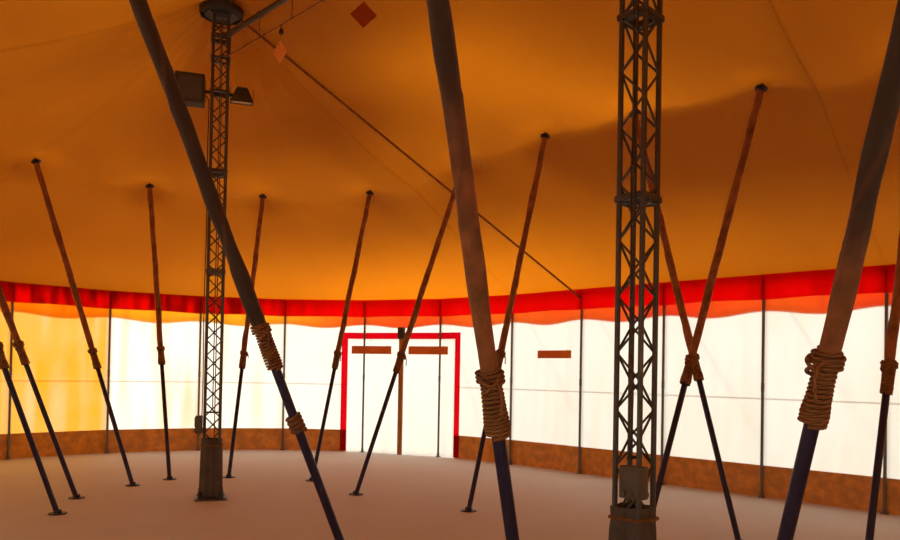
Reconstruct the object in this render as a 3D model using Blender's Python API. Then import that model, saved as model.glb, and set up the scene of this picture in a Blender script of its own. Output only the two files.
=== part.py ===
"""An oval marquee with two lattice masts, seen from the floor up.

The plan is two half circles round the masts, joined by two straight sides. Places on it are given
by a station, counted bay by bay round the wall, and by the distance from the spine, the line
between the masts. Metres, +Z up, the origin on the ground in the middle, +X along the spine.
"""

import math

import bmesh
import bpy
from mathutils import Matrix, Vector
from mathutils.bvhtree import BVHTree

for old in list(bpy.data.objects):
    bpy.data.objects.remove(old, do_unlink=True)

# Plan and heights of the whole tent
MAST_SPACING = 6.25
END_RADIUS = 6.0
SIDE_BAYS = 4
END_BAYS = 11
EAVE_HEIGHT = 3.14
PEAK_HEIGHT = 6.6
RIDGE_SAG = 0.4
RING_DISTANCE = 3.45
RING_HEIGHT = 4.8
RING_RISE = 0.25
HEAD_LIFT = 0.1
HEAD_SPREAD = 0.95
CLEARANCE = 0.0003

# Canopy, its outer band and the inner valance
CANOPY_THICKNESS = 0.012
MAST_HOLE = 0.16
BAND_DEPTH = 0.56
BAND_THICKNESS = 0.008
SCALLOP = 0.07
VALANCE_DEPTH = 0.36
VALANCE_THICKNESS = 0.006

# Walls and the two ways out
WALL_THICKNESS = 0.006
DOOR_HALF_BAYS = 0.71
DOOR_HEIGHT = 2.36
FRAME_WIDTH = 0.13
FRAME_THICKNESS = 0.004
POST_WIDTH = 0.13
POST_DEPTH = 0.06
POST_HEIGHT = DOOR_HEIGHT + 0.24
FLAP_LIFT = 0.015
FLAP_GAP = 0.012
GATHER_RADIUS = 0.1
GATHER_SIDES = 12

# Poles, ropes and stakes round the wall
SIDE_POLE_RADIUS = 0.021
SIDE_POLE_INSET = 0.034
SIDE_FOOT_RADIUS = 0.05
SIDE_FOOT_THICKNESS = 0.012
EAVE_CABLE_RADIUS = 0.008
SIDE_POLE_SIDES = 8
SIDE_POLE_FLAT = SIDE_POLE_RADIUS * math.cos(math.pi / SIDE_POLE_SIDES)
VALANCE_INSET = SIDE_POLE_INSET + SIDE_POLE_FLAT + VALANCE_THICKNESS + CLEARANCE
EAVE_CABLE_DROP = 0.03
BELT_HEIGHT = 0.05
BELT_THICKNESS = 0.005
GUY_RADIUS = 0.009
GUY_REACH = 2.3
RING_PLATE = 0.05
STAKE_RADIUS = 0.018
STAKE_HEIGHT = 0.34
STAKE_LEAN = 0.09

# Inner poles
TUBE_RADIUS = 0.03
SLEEVE_RADIUS = 0.043
LASHING_RADIUS = 0.058
LASHING_LENGTH = 0.29
HEAD_RADIUS = 0.05
HEAD_DEPTH = 0.09
FOOT_RADIUS = 0.1
FOOT_THICKNESS = 0.014
INNER_POLE_SIDES = 8

# Masts and the truss between them
MAST_WIDTH = 0.19
LEG_RADIUS = 0.024
BRACE_RADIUS = 0.009
BRACE_PANELS = 11
BASE_WIDTH = 0.4
BASE_THICKNESS = 0.02
COLLAR_WIDTH = 0.27
COLLAR_HEIGHTS = (2.95, 4.25)
BOOM_COLLAR = 0.34
COLLAR_THICKNESS = 0.03
CROWN_RADIUS = 0.28
CROWN_THICKNESS = 0.09
HUB_RADIUS = 0.1
HUB_RISE = 0.22
BOOM_HEIGHT = 6.02
BOOM_RADIUS = 0.035
CHORD_HEIGHT = 5.74
CHORD_RADIUS = 0.014
TRUSS_BAYS = 8
HANGER_RADIUS = 0.008
BAR_TWIST = 0.2
WEST_TURN = math.radians(-27)
LAMP_HEIGHT = 5.35
LAMP_REACH = 0.37
FLOOD_REACH = 0.28
LAMP_ARM_RADIUS = 0.02
LAMP_BOX = (0.26, 0.4, 0.4)
FLOOD_BOX = (0.18, 0.3, 0.28)
SWITCH_BOX = (0.2, 0.12, 0.24)
SWITCH_HEIGHT = 0.93

STATIONS = 2 * (SIDE_BAYS + END_BAYS)
HALF = MAST_SPACING / 2
WEST, SOUTH, EAST = SIDE_BAYS, SIDE_BAYS + END_BAYS, 2 * SIDE_BAYS + END_BAYS
WALL_IN, WALL_OUT = END_RADIUS, END_RADIUS + WALL_THICKNESS
BAND_IN = WALL_OUT + 0.004
BAND_OUT = BAND_IN + BAND_THICKNESS
POLE_DISTANCE = END_RADIUS - SIDE_POLE_INSET
STEEPEST = (RING_HEIGHT + RING_RISE - HEAD_LIFT - EAVE_HEIGHT) / (END_RADIUS - RING_DISTANCE)
WALL_TOP = EAVE_HEIGHT - STEEPEST * WALL_THICKNESS - CLEARANCE

# Each inner pole: the station of its head, how far its foot stands in from the head, how far it
# stands along the wall from it, and the height at which its lashing begins.
INNER_POLES = (
    (0.36, 1.71, 0.40, 1.62), (1.40, 0.64, -1.71, 1.66), (2.27, 1.46, -0.04, 1.7),
    (3.25, 1.79, 0.25, 1.68), (5.0, 1.46, -0.05, 1.72), (7.05, 1.53, 0.17, 1.7),
    (8.97, 1.51, -0.02, 1.74), (10.85, 1.78, -0.31, 1.66), (12.8, 1.78, -0.1, 1.7),
    (14.73, 1.64, 0.02, 1.65), (16.4, 0.45, -0.35, 1.6), (17.98, 2.07, 0.35, 1.7),
    (19.98, 1.54, 0.08, 1.43), (22.07, 1.59, -0.15, 1.52), (24.4, 1.45, 0.1, 1.6),
    (26.7, 1.5, -0.1, 1.66), (28.95, 1.31, -0.3, 1.58),
)


def colour(name, rgb, roughness, metallic=0.0):
    """A plain Principled material."""
    material = bpy.data.materials.new(name)
    material.use_nodes = True
    shader = material.node_tree.nodes["Principled BSDF"]
    shader.inputs["Base Color"].default_value = (*rgb, 1)
    shader.inputs["Roughness"].default_value = roughness
    shader.inputs["Metallic"].default_value = metallic
    return material


AMBER = colour("amber_cloth", (0.62, 0.25, 0.02), 0.55)
YELLOW = colour("yellow_cloth", (0.85, 0.55, 0.12), 0.55)
RED = colour("red_cloth", (0.65, 0.02, 0.02), 0.55)
STEEL = colour("dull_steel", (0.22, 0.22, 0.25), 0.45, 0.8)
DARK_STEEL = colour("dark_steel", (0.12, 0.1, 0.09), 0.5, 0.8)
ROPE = colour("brown_rope", (0.3, 0.17, 0.08), 0.9)
WOOD = colour("brown_wood", (0.2, 0.09, 0.03), 0.7)


def place(station, distance, height=0.0):
    """The point at a station, so far out from the spine."""
    s = station % STATIONS
    if s < WEST:
        return Vector((HALF - MAST_SPACING * s / SIDE_BAYS, distance, height))
    if s < SOUTH:
        turn = math.pi * (s - WEST) / END_BAYS
        return Vector((-HALF - distance * math.sin(turn), distance * math.cos(turn), height))
    if s < EAST:
        return Vector((-HALF + MAST_SPACING * (s - SOUTH) / SIDE_BAYS, -distance, height))
    turn = math.pi * (s - EAST) / END_BAYS
    return Vector((HALF + distance * math.sin(turn), -distance * math.cos(turn), height))


def outward(station):
    """The level direction away from the spine at a station."""
    return (place(station, 2.0) - place(station, 1.0)).normalized()


def along(station):
    """The level direction in which the stations count up."""
    return Vector((0, 0, 1)).cross(outward(station))


def chord_point(station, distance, height):
    """A point on the straight line between the whole stations on both sides."""
    low = math.floor(station)
    part = station - low
    return place(low, distance, height).lerp(place(low + 1, distance, height), part)


def bay_length(station):
    return (place(math.floor(station) + 1, END_RADIUS) - place(math.floor(station), END_RADIUS)).length


def spine_share(station):
    """1 in the middle between the masts, 0 at each mast and round the ends."""
    s = station % (STATIONS / 2)
    if s >= SIDE_BAYS:
        return 0.0
    across = 2 * s / SIDE_BAYS - 1
    return 1 - across * across


def canopy_height(station, distance):
    """The underside of the canopy: steep by the masts, straight from the ring to the eave."""
    share = spine_share(station)
    ridge = PEAK_HEIGHT - RIDGE_SAG * share
    ring = RING_HEIGHT + RING_RISE * math.sqrt(share) - HEAD_LIFT
    if distance < RING_DISTANCE:
        rise = (1 - distance / RING_DISTANCE) ** (1.25 - 0.2 * share)
        height = ring + (ridge - ring) * rise
    else:
        part = (distance - RING_DISTANCE) / (END_RADIUS - RING_DISTANCE)
        height = ring + (EAVE_HEIGHT - ring) * part
    spot = place(station, distance)
    for head, *_ in INNER_POLES:
        near = (place(head, RING_DISTANCE) - spot).length / HEAD_SPREAD
        height += HEAD_LIFT * max(0.0, 1 - near) ** 1.5
    return height


def finish(name, mesh, material, smooth=False):
    """Makes a mesh into a named object with one material."""
    mesh.update()
    if smooth:
        mesh.shade_smooth()
        mesh.set_sharp_from_angle(angle=math.radians(40))
    made = bpy.data.objects.new(name, mesh)
    made.data.materials.append(material)
    bpy.context.scene.collection.objects.link(made)
    return made


def skin(name, columns, rows, spot, material, gaps=()):
    """A sheet with a thickness: spot(station, row, layer) gives its points, layer 0 inside and 1 outside.

    Its two ends stand back by the clearance. gaps holds the (column, row) cells that are left out.
    """
    bm = bmesh.new()
    points = {}
    trim = {0: along(columns[0]) * CLEARANCE / 2, len(columns) - 1: -along(columns[-1]) * CLEARANCE / 2}

    def vertex(c, r, layer):
        if (c, r, layer) not in points:
            point = spot(columns[c], rows[r], layer) + trim.get(c, Vector())
            points[c, r, layer] = bm.verts.new(point)
        return points[c, r, layer]

    cells = {(c, r) for c in range(len(columns) - 1) for r in range(len(rows) - 1)} - set(gaps)
    for c, r in sorted(cells):
        corners = ((c, r), (c + 1, r), (c + 1, r + 1), (c, r + 1))
        for layer in (0, 1):
            ring = [vertex(*corner, layer) for corner in corners]
            bm.faces.new(ring if layer else ring[::-1])
        beside = ((c, r - 1), (c + 1, r), (c, r + 1), (c - 1, r))
        for k, neighbour in enumerate(beside):
            if neighbour in cells:
                continue
            a, b = corners[k], corners[(k + 1) % 4]
            bm.faces.new([vertex(*b, 1), vertex(*a, 1), vertex(*a, 0), vertex(*b, 0)])
    bmesh.ops.triangulate(bm, faces=bm.faces)
    bmesh.ops.recalc_face_normals(bm, faces=bm.faces)
    mesh = bpy.data.meshes.new(name)
    bm.to_mesh(mesh)
    bm.free()
    return finish(name, mesh, material)


def box(bm, centre, size, turn=0.0):
    """Adds a box to a mesh, turned about the vertical."""
    matrix = Matrix.Translation(centre) @ Matrix.Rotation(turn, 4, "Z") @ Matrix.Diagonal((*size, 1))
    bmesh.ops.create_cube(bm, size=1.0, matrix=matrix)


def bar(bm, start, end, radius, sides):
    """Adds a straight bar with flat ends to a mesh."""
    start, end = Vector(start), Vector(end)
    axis = end - start
    turn = axis.to_track_quat("Z", "Y").to_matrix().to_4x4() @ Matrix.Rotation(BAR_TWIST, 4, "Z")
    matrix = Matrix.Translation((start + end) / 2) @ turn
    bmesh.ops.create_cone(
        bm, cap_ends=True, segments=sides, radius1=radius, radius2=radius, depth=axis.length, matrix=matrix
    )


def ring_points(centre, radius, sides, lean, facing=Vector((1, 0, 0))):
    """A level ring round a leaning axis, stretched so that the bar through it is round.

    The ring of an upright bar has a flat side towards facing.
    """
    tilt = Vector((lean.x, lean.y, 0))
    stretch = math.sqrt(1 + tilt.length_squared)
    way = tilt.normalized() if tilt.length > 1e-6 else facing
    side = Vector((-way.y, way.x, 0))
    turns = [2 * math.pi * (k + 0.5) / sides for k in range(sides)]
    return [
        Vector(centre) + way * (radius * stretch * math.cos(t)) + side * (radius * math.sin(t)) for t in turns
    ]


def edge_points(ring, steps=5):
    """Points along the straight sides of a ring, close enough together to seat it by."""
    pairs = zip(ring, ring[1:] + ring[:1])
    return [a.lerp(b, k / steps) for a, b in pairs for k in range(steps)]


def level_rings(bm, rings, sides, lean=Vector((0, 0, 0)), facing=Vector((1, 0, 0))):
    """Adds a solid of level rings, (centre, radius) each, along a leaning axis."""
    loops = [
        [bm.verts.new(p) for p in ring_points(centre, radius, sides, lean, facing)] for centre, radius in rings
    ]
    for low, high in zip(loops, loops[1:]):
        for k in range(sides):
            n = (k + 1) % sides
            bm.faces.new([low[k], low[n], high[n], high[k]])
    bm.faces.new(loops[0][::-1])
    bm.faces.new(loops[-1])


def mesh_of(bm, name):
    mesh = bpy.data.meshes.new(name)
    bmesh.ops.recalc_face_normals(bm, faces=bm.faces)
    bm.to_mesh(mesh)
    bm.free()
    return mesh


def fuse(name, bm, seed, material):
    """Joins the solids of bm and of seed, which overlap, into one body."""
    made = finish(name, mesh_of(bm, name), material)
    tool = finish(name + "_seed", mesh_of(seed, name + "_seed"), material)
    tool.hide_render = True
    tool.display_type = "WIRE"
    union = made.modifiers.new("union", "BOOLEAN")
    union.operation = "UNION"
    union.solver = "EXACT"
    union.use_self = True
    union.object = tool
    return made


def tree_of(made):
    """A search tree over an object whose points are in world space."""
    mesh = made.data
    return BVHTree.FromPolygons([v.co for v in mesh.vertices], [tuple(p.vertices) for p in mesh.polygons])


def seat_under(trees, shape, low, high):
    """The largest height up to which shape(height)'s points stay the clearance under the trees."""
    for _ in range(50):
        middle = (low + high) / 2
        near = min(
            hit[3]
            for tree in trees
            for point in shape(middle)
            for hit in [tree.find_nearest(point)]
            if hit[0] is not None
        )
        if near > CLEARANCE and clear_below(trees, shape(middle)):
            low = middle
        else:
            high = middle
    return low


def clear_below(trees, points):
    """Whether no tree has a face within three metres straight under any of the points."""
    down = Vector((0, 0, -1))
    return not any(tree.ray_cast(p, down, 3.0)[0] for tree in trees for p in points)


# Canopy


def canopy_row(station, row, layer):
    """Row 0 to 1 runs down the roof, and 1 to 2 down the outer band."""
    lift = CANOPY_THICKNESS * layer
    if row <= 1:
        distance = row * (BAND_IN if layer == 0 else BAND_OUT)
        distance = max(distance, inner_edge(station))
        return chord_point(station, distance, canopy_height(station, distance) + lift)
    distance = BAND_OUT if layer else BAND_IN
    depth = BAND_DEPTH - SCALLOP * (0.5 + 0.5 * math.cos(2 * math.pi * station))
    return chord_point(station, distance, EAVE_HEIGHT - (row - 1) * depth)


def inner_edge(station):
    """How near the spine the canopy comes: round the mast's hole, or up to the seam on the ridge."""
    s = station % (STATIONS / 2)
    if s > SIDE_BAYS:
        return MAST_HOLE
    from_mast = min(s, SIDE_BAYS - s) * MAST_SPACING / SIDE_BAYS
    return max(MAST_HOLE - from_mast, CLEARANCE / 2)


def make_canopy():
    """Sheets that meet at seams down the slope, each with its outer band."""
    seams = (0, WEST, WEST + 4, SOUTH - 4, SOUTH, EAST, EAST + 4, STATIONS - 4, STATIONS)
    names = ("north", "northwest", "west", "southwest", "south", "southeast", "east", "northeast")
    ring_row = RING_DISTANCE / END_RADIUS
    rows = [0.0, 0.13, 0.3, 0.44, ring_row, 0.78, 1.0, 2.0]
    made = []
    for name, low, high in zip(names, seams, seams[1:]):
        columns = [low + k / 2 for k in range(2 * (high - low) + 1)]
        if high - low == SIDE_BAYS and low in (0, SOUTH):
            hole = MAST_HOLE * SIDE_BAYS / MAST_SPACING
            columns[1:1] = [low + hole]
            columns[-1:-1] = [high - hole]
        made.append(skin(f"canopy_{name}", columns, rows, canopy_row, AMBER))
    return made


def make_valance():
    """The inner band that hangs inside the tops of the side poles."""
    ends = (0, WEST, SOUTH, EAST, STATIONS)
    for name, low, high in zip(("north", "west", "south", "east"), ends, ends[1:]):
        columns = list(range(low, high + 1))

        def spot(station, row, layer):
            distance = END_RADIUS - VALANCE_INSET + VALANCE_THICKNESS * layer
            top = canopy_height(station, distance) - 4 * CLEARANCE - VALANCE_THICKNESS
            return place(station, distance, top - VALANCE_DEPTH * (1 - row))

        skin(f"valance_{name}", columns, (0.0, 1.0), spot, RED)


# Walls


def wall_spot(inside, outside):
    """Points of a sheet that follows the straight bays of the wall between two distances."""

    def spot(station, height, layer):
        return chord_point(station, outside if layer else inside, height)

    return spot


def door_stations(middle):
    return middle - DOOR_HALF_BAYS, middle + DOOR_HALF_BAYS


def make_walls():
    """Eight curtains, two of them with a way out cut through."""
    parts = (
        ("north", 0, WEST), ("northwest", WEST, WEST + 3), ("west", WEST + 3, WEST + 7),
        ("southwest", WEST + 7, SOUTH), ("south", SOUTH, EAST), ("southeast", EAST, EAST + 3),
        ("east", EAST + 3, EAST + 7), ("northeast", EAST + 7, STATIONS),
    )
    for name, low, high in parts:
        columns = list(range(low, high + 1))
        rows = [0.0, WALL_TOP]
        gaps = []
        if low in (WEST, EAST):
            first, last = door_stations(low + 1.5)
            columns = sorted(columns + [first, last])
            rows = [0.0, DOOR_HEIGHT, WALL_TOP]
            gaps = [(c, 0) for c in range(len(columns) - 1) if first <= columns[c] < last]
        skin(f"wall_{name}", columns, rows, wall_spot(WALL_IN, WALL_OUT), YELLOW, gaps)


def make_exit(name, middle):
    """The red border round a way out and the post in its middle."""
    first, last = door_stations(middle)
    width = FRAME_WIDTH / bay_length(middle)
    columns = sorted([first - width, first, math.ceil(first), math.floor(last), last, last + width])
    rows = [0.02, DOOR_HEIGHT, DOOR_HEIGHT + FRAME_WIDTH]
    gaps = [(c, 0) for c in range(1, len(columns) - 2)]
    outside = WALL_IN - CLEARANCE
    spot = wall_spot(outside - FRAME_THICKNESS, outside)
    skin(f"exit_border_{name}", columns, rows, spot, RED, gaps)
    way = outward(middle)
    face = chord_point(middle, WALL_IN - FRAME_THICKNESS - 2 * CLEARANCE, 0)
    bm = bmesh.new()
    centre = face - way * (POST_DEPTH / 2) + Vector((0, 0, POST_HEIGHT / 2))
    box(bm, centre, (POST_DEPTH, POST_WIDTH, POST_HEIGHT), math.atan2(way.y, way.x))
    finish(f"exit_post_{name}", mesh_of(bm, "exit_post"), WOOD)


def make_closed_flaps(name, middle):
    """Two leaves of wall cloth that close a way out and meet behind its post."""
    first, last = door_stations(middle)
    inset = CLEARANCE / bay_length(middle)
    meet = FLAP_GAP / bay_length(middle) / 2
    for side, low, high in (("right", first + inset, middle - meet), ("left", middle + meet, last - inset)):
        bend = math.ceil(low) if side == "right" else math.floor(high)
        columns = sorted([low, bend, high])
        rows = [FLAP_LIFT, DOOR_HEIGHT - CLEARANCE]
        skin(f"exit_flap_{name}_{side}", columns, rows, wall_spot(WALL_IN, WALL_OUT), YELLOW)


def make_tied_flaps(name, middle):
    """Two leaves drawn aside and tied, each a slim gathered bundle against its side of the border."""
    shares = ((0.3, 0.8), (0.49, 0.45), (0.64, 0.65), (0.9, 0.9))
    profile = [(FLAP_LIFT, 1.0), *((DOOR_HEIGHT * up, wide) for up, wide in shares)]
    profile.append((DOOR_HEIGHT + FRAME_WIDTH * 0.8, 0.6))
    for side, edge in zip(("right", "left"), door_stations(middle)):
        outer = -1 if side == "right" else 1
        station = edge + outer * FRAME_WIDTH / 2 / bay_length(middle)
        way = outward(math.floor(station) + 0.5)
        rings = []
        for height, share in profile:
            radius = GATHER_RADIUS * share
            face = chord_point(station, WALL_IN - FRAME_THICKNESS - 3 * CLEARANCE, height)
            rings.append((face - way * radius * math.cos(math.pi / GATHER_SIDES), radius))
        bm = bmesh.new()
        level_rings(bm, rings, GATHER_SIDES, facing=way)
        finish(f"exit_flap_{name}_{side}", mesh_of(bm, "tied_flap"), YELLOW, smooth=True)


# Poles, ropes and stakes round the wall


def groups():
    """The four runs of stations that share a cable: (name, first station, last station)."""
    return (
        ("north", 0, WEST), ("west", WEST, SOUTH), ("south", SOUTH, EAST), ("east", EAST, STATIONS),
    )


def make_side_poles(trees):
    """Upright poles on foot plates, held in line by the cable through their tops."""
    for name, low, high in groups():
        bm = bmesh.new()
        straight = low in (0, SOUTH)
        for k in range(low, high + 1):
            if k in (low, high) and not straight:
                continue
            spot, way = place(k, POLE_DISTANCE), outward(k)

            def rim(height):
                lift = Vector((0, 0, height))
                return edge_points(ring_points(spot + lift, SIDE_POLE_RADIUS, SIDE_POLE_SIDES, Vector(), way))

            top = seat_under(trees, rim, EAVE_HEIGHT - 0.1, EAVE_HEIGHT + 0.1)
            rings = [
                (spot, SIDE_FOOT_RADIUS * 0.6),
                (spot + Vector((0, 0, SIDE_FOOT_THICKNESS)), SIDE_FOOT_RADIUS * 0.6),
                (spot + Vector((0, 0, SIDE_FOOT_THICKNESS * 1.5)), SIDE_POLE_RADIUS),
                (spot + Vector((0, 0, top)), SIDE_POLE_RADIUS),
            ]
            level_rings(bm, rings, SIDE_POLE_SIDES, facing=way)
        cable = bmesh.new()
        stretch = SIDE_POLE_RADIUS * 2 * (1 if straight else -1.2) / bay_length(low)
        ends = [low - stretch, *range(low + 1, high), high + stretch]
        if straight:
            ends[1:1] = [low]
            ends[-1:-1] = [high]
        path = [chord_point(k, POLE_DISTANCE, EAVE_HEIGHT - EAVE_CABLE_DROP) for k in ends]
        tube_along(cable, path, EAVE_CABLE_RADIUS, 6)
        fuse(f"side_poles_{name}", bm, cable, STEEL)


def tube_along(bm, path, radius, sides):
    """A round tube through level points, mitred at each."""
    loops = []
    for k, point in enumerate(path):
        before = (point - path[k - 1]).normalized() if k else (path[1] - point).normalized()
        after = (path[k + 1] - point).normalized() if k + 1 < len(path) else before
        way = (before + after).normalized()
        side = Vector((-way.y, way.x, 0)) / max(way.dot(after), 0.5)
        loop = []
        for m in range(sides):
            turn = 2 * math.pi * (m + 0.5) / sides
            loop.append(bm.verts.new(point + side * radius * math.cos(turn) + Vector((0, 0, radius * math.sin(turn)))))
        loops.append(loop)
    for one, two in zip(loops, loops[1:]):
        for m in range(sides):
            n = (m + 1) % sides
            bm.faces.new([one[m], one[n], two[n], two[m]])
    bm.faces.new(loops[0][::-1])
    bm.faces.new(loops[-1])


def make_guy_lines():
    """Taut ropes from the belt round the eave down to the stakes."""
    for name, low, high in groups():
        columns = list(range(low, high + 1))
        inner = BAND_OUT + CLEARANCE
        belt = skin(
            f"guy_lines_{name}",
            columns,
            (EAVE_HEIGHT - BELT_HEIGHT, EAVE_HEIGHT - CLEARANCE),
            lambda s, height, layer: place(s, inner + BELT_THICKNESS * layer, height),
            ROPE,
        )
        bm = bmesh.new()
        for k in range(low, high + 1):
            corner = k in (low, high)
            if corner and low in (WEST, EAST):
                continue
            ring_at = inner + BELT_THICKNESS / 2
            shift = {low: 1, high: -1}.get(k, 0) * (RING_PLATE / bay_length(low) if corner else 0)
            way = outward(k)
            centre = place(k + shift, ring_at + RING_PLATE / 2, EAVE_HEIGHT - BELT_HEIGHT / 2)
            box(bm, centre, (RING_PLATE, RING_PLATE * 0.5, BELT_HEIGHT * 0.5), math.atan2(way.y, way.x))
            foot = place(k, END_RADIUS + GUY_REACH)
            foot = foot + along(k) * (centre - place(k, 0)).dot(along(k))
            tip = foot + way * STAKE_LEAN + Vector((0, 0, STAKE_HEIGHT))
            lean = (tip - foot) / STAKE_HEIGHT
            level_rings(bm, [(foot, STAKE_RADIUS), (tip, STAKE_RADIUS)], 8, Vector((lean.x, lean.y, 0)))
            knot = foot.lerp(tip, 0.6)
            bar(bm, centre + way * RING_PLATE * 0.3, knot, GUY_RADIUS, 6)
        tool = finish(f"guy_tool_{name}", mesh_of(bm, "guys"), ROPE)
        tool.hide_render = True
        tool.display_type = "WIRE"
        union = belt.modifiers.new("union", "BOOLEAN")
        union.operation = "UNION"
        union.solver = "EXACT"
        union.use_self = True
        union.object = tool


# Inner poles


def make_inner_poles(trees):
    """Leaning poles: bare tube below, a lashing, a wrapped sleeve above, and a head under the canopy."""
    for number, (station, inward, sideways, lashed) in enumerate(INNER_POLES, 1):
        head = place(station, RING_DISTANCE)
        foot = head - outward(station) * inward + along(station) * sideways
        top_guess = canopy_height(station, RING_DISTANCE)
        lean = (head - foot) / top_guess

        def at(height):
            return foot + lean * height + Vector((0, 0, height))

        def head_points(height):
            tip, neck = at(height), at(height - HEAD_DEPTH / 3)
            rim = edge_points(ring_points(tip, HEAD_RADIUS * 0.5, INNER_POLE_SIDES, lean))
            wide = edge_points(ring_points(neck, HEAD_RADIUS, INNER_POLE_SIDES, lean))
            between = [one.lerp(two, 0.5) for one, two in zip(rim, wide)]
            return rim + wide + between + [tip]

        top = seat_under(trees, head_points, top_guess - 0.4, top_guess + 0.1)
        lashing_top = lashed + LASHING_LENGTH
        rings = [
            (at(0), FOOT_RADIUS),
            (at(FOOT_THICKNESS), FOOT_RADIUS),
            (at(FOOT_THICKNESS * 1.2), TUBE_RADIUS),
            (at(lashed), TUBE_RADIUS),
            (at(lashed + 0.02), LASHING_RADIUS * 0.9),
            (at(lashed + LASHING_LENGTH * 0.5), LASHING_RADIUS),
            (at(lashing_top - 0.02), LASHING_RADIUS * 0.95),
            (at(lashing_top + 0.03), SLEEVE_RADIUS),
            (at(top - HEAD_DEPTH), SLEEVE_RADIUS * 0.85),
            (at(top - HEAD_DEPTH * 0.8), HEAD_RADIUS),
            (at(top - HEAD_DEPTH / 3), HEAD_RADIUS),
            (at(top), HEAD_RADIUS * 0.5),
        ]
        bm = bmesh.new()
        level_rings(bm, rings, INNER_POLE_SIDES, lean)
        finish(f"inner_pole_{number:02d}", mesh_of(bm, "inner_pole"), STEEL, smooth=True)


# Masts


def make_crown(name, x, trees):
    """The ring on top of a mast that the canopy hangs from, with its hub through the cloth."""

    def rim(height):
        return [
            Vector((x, 0, height)) + Matrix.Rotation(k * math.pi / 12, 3, "Z") @ Vector((CROWN_RADIUS, 0, 0))
            for k in range(24)
        ]

    top = seat_under(trees, rim, PEAK_HEIGHT - 1.0, PEAK_HEIGHT)
    bm = bmesh.new()
    rings = [
        ((x, 0, top - CROWN_THICKNESS), CROWN_RADIUS * 0.92),
        ((x, 0, top - CROWN_THICKNESS * 0.8), CROWN_RADIUS),
        ((x, 0, top), CROWN_RADIUS),
        ((x, 0, top + 0.002), HUB_RADIUS),
        ((x, 0, PEAK_HEIGHT + HUB_RISE), HUB_RADIUS),
        ((x, 0, PEAK_HEIGHT + HUB_RISE + 0.06), HUB_RADIUS * 0.4),
    ]
    level_rings(bm, rings, 24)
    finish(f"crown_{name}", mesh_of(bm, "crown"), DARK_STEEL, smooth=True)
    return top - CROWN_THICKNESS


def make_mast(name, x, turn, top):
    """A square lattice with a zigzag on each face, plates at its ends, collars and a lamp arm."""
    bm = bmesh.new()
    spin = Matrix.Rotation(turn, 3, "Z")
    half = MAST_WIDTH / 2
    corners = [(half, half), (-half, half), (-half, -half), (half, -half)]

    def spot(corner, height):
        flat = spin @ Vector((*corners[corner % 4], 0))
        return Vector((x + flat.x, flat.y, height))

    low, high = BASE_THICKNESS * 0.5, top - CLEARANCE - BASE_THICKNESS * 0.5
    for corner in range(4):
        bar(bm, spot(corner, low), spot(corner, high), LEG_RADIUS, 6)
    panel = (high - low) / BRACE_PANELS
    for face in range(4):
        for k in range(BRACE_PANELS):
            near, far = (face, face + 1) if (k + face) % 2 else (face + 1, face)
            bar(bm, spot(near, low + k * panel), spot(far, low + (k + 1) * panel), BRACE_RADIUS, 4)
    box(bm, (x, 0, BASE_THICKNESS / 2), (BASE_WIDTH, BASE_WIDTH, BASE_THICKNESS), turn)
    box(bm, (x, 0, top - CLEARANCE - BASE_THICKNESS / 2), (COLLAR_WIDTH, COLLAR_WIDTH, BASE_THICKNESS), turn)
    for height in (*COLLAR_HEIGHTS, LAMP_HEIGHT):
        box(bm, (x, 0, height), (COLLAR_WIDTH, COLLAR_WIDTH, COLLAR_THICKNESS), turn)
    for height, radius in ((BOOM_HEIGHT, BOOM_RADIUS), (CHORD_HEIGHT, CHORD_RADIUS)):
        box(bm, (x, 0, height), (BOOM_COLLAR, BOOM_COLLAR, 2 * radius))
    seed = bmesh.new()
    arm = spin @ Vector((0, 1, 0))
    middle = Vector((x, 0, LAMP_HEIGHT))
    bar(seed, middle - arm * LAMP_REACH, middle + arm * FLOOD_REACH, LAMP_ARM_RADIUS, 6)
    box(bm, middle - arm * LAMP_REACH, LAMP_BOX, turn)
    box(bm, middle + arm * FLOOD_REACH, FLOOD_BOX, turn)
    switch = spin @ Vector((half * 0.3, -half - SWITCH_BOX[1] / 2, 0))
    box(bm, (x + switch.x, switch.y, SWITCH_HEIGHT), SWITCH_BOX, turn)
    fuse(f"mast_{name}", bm, seed, DARK_STEEL)


def make_ridge_truss():
    """A boom and a thin chord under it, joined by hangers, from mast to mast."""
    reach = HALF - BOOM_COLLAR / 2 - CLEARANCE
    bm = bmesh.new()
    bar(bm, (-reach, 0, CHORD_HEIGHT), (reach, 0, CHORD_HEIGHT), CHORD_RADIUS, 6)
    for k in range(TRUSS_BAYS + 1):
        x = -reach * 0.97 + 2 * reach * 0.97 * k / TRUSS_BAYS
        low, high = CHORD_HEIGHT - CHORD_RADIUS * 0.3, BOOM_HEIGHT - BOOM_RADIUS * 0.3
        bar(bm, (x, 0, low), (x, 0, high), HANGER_RADIUS, 4)
    seed = bmesh.new()
    bar(seed, (-reach, 0, BOOM_HEIGHT), (reach, 0, BOOM_HEIGHT), BOOM_RADIUS, 8)
    fuse("ridge_truss", bm, seed, DARK_STEEL)


canopy_sheets = make_canopy()
canopy_trees = [tree_of(sheet) for sheet in canopy_sheets]
make_valance()
make_walls()
make_exit("west", WEST + 1.5)
make_exit("east", EAST + 1.5)
make_closed_flaps("west", WEST + 1.5)
make_tied_flaps("east", EAST + 1.5)
make_side_poles(canopy_trees)
make_guy_lines()
make_inner_poles(canopy_trees)
for mast_name, mast_x, mast_turn in (("west", -HALF, WEST_TURN), ("east", HALF, 0.0)):
    mast_top = make_crown(mast_name, mast_x, canopy_trees)
    make_mast(mast_name, mast_x, mast_turn, mast_top)
make_ridge_truss()
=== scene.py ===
"""A marquee tent on two lattice masts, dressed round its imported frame."""
import random
from math import atan2, ceil, copysign, cos, exp, floor, pi, radians, sin, sqrt, tau

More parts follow.
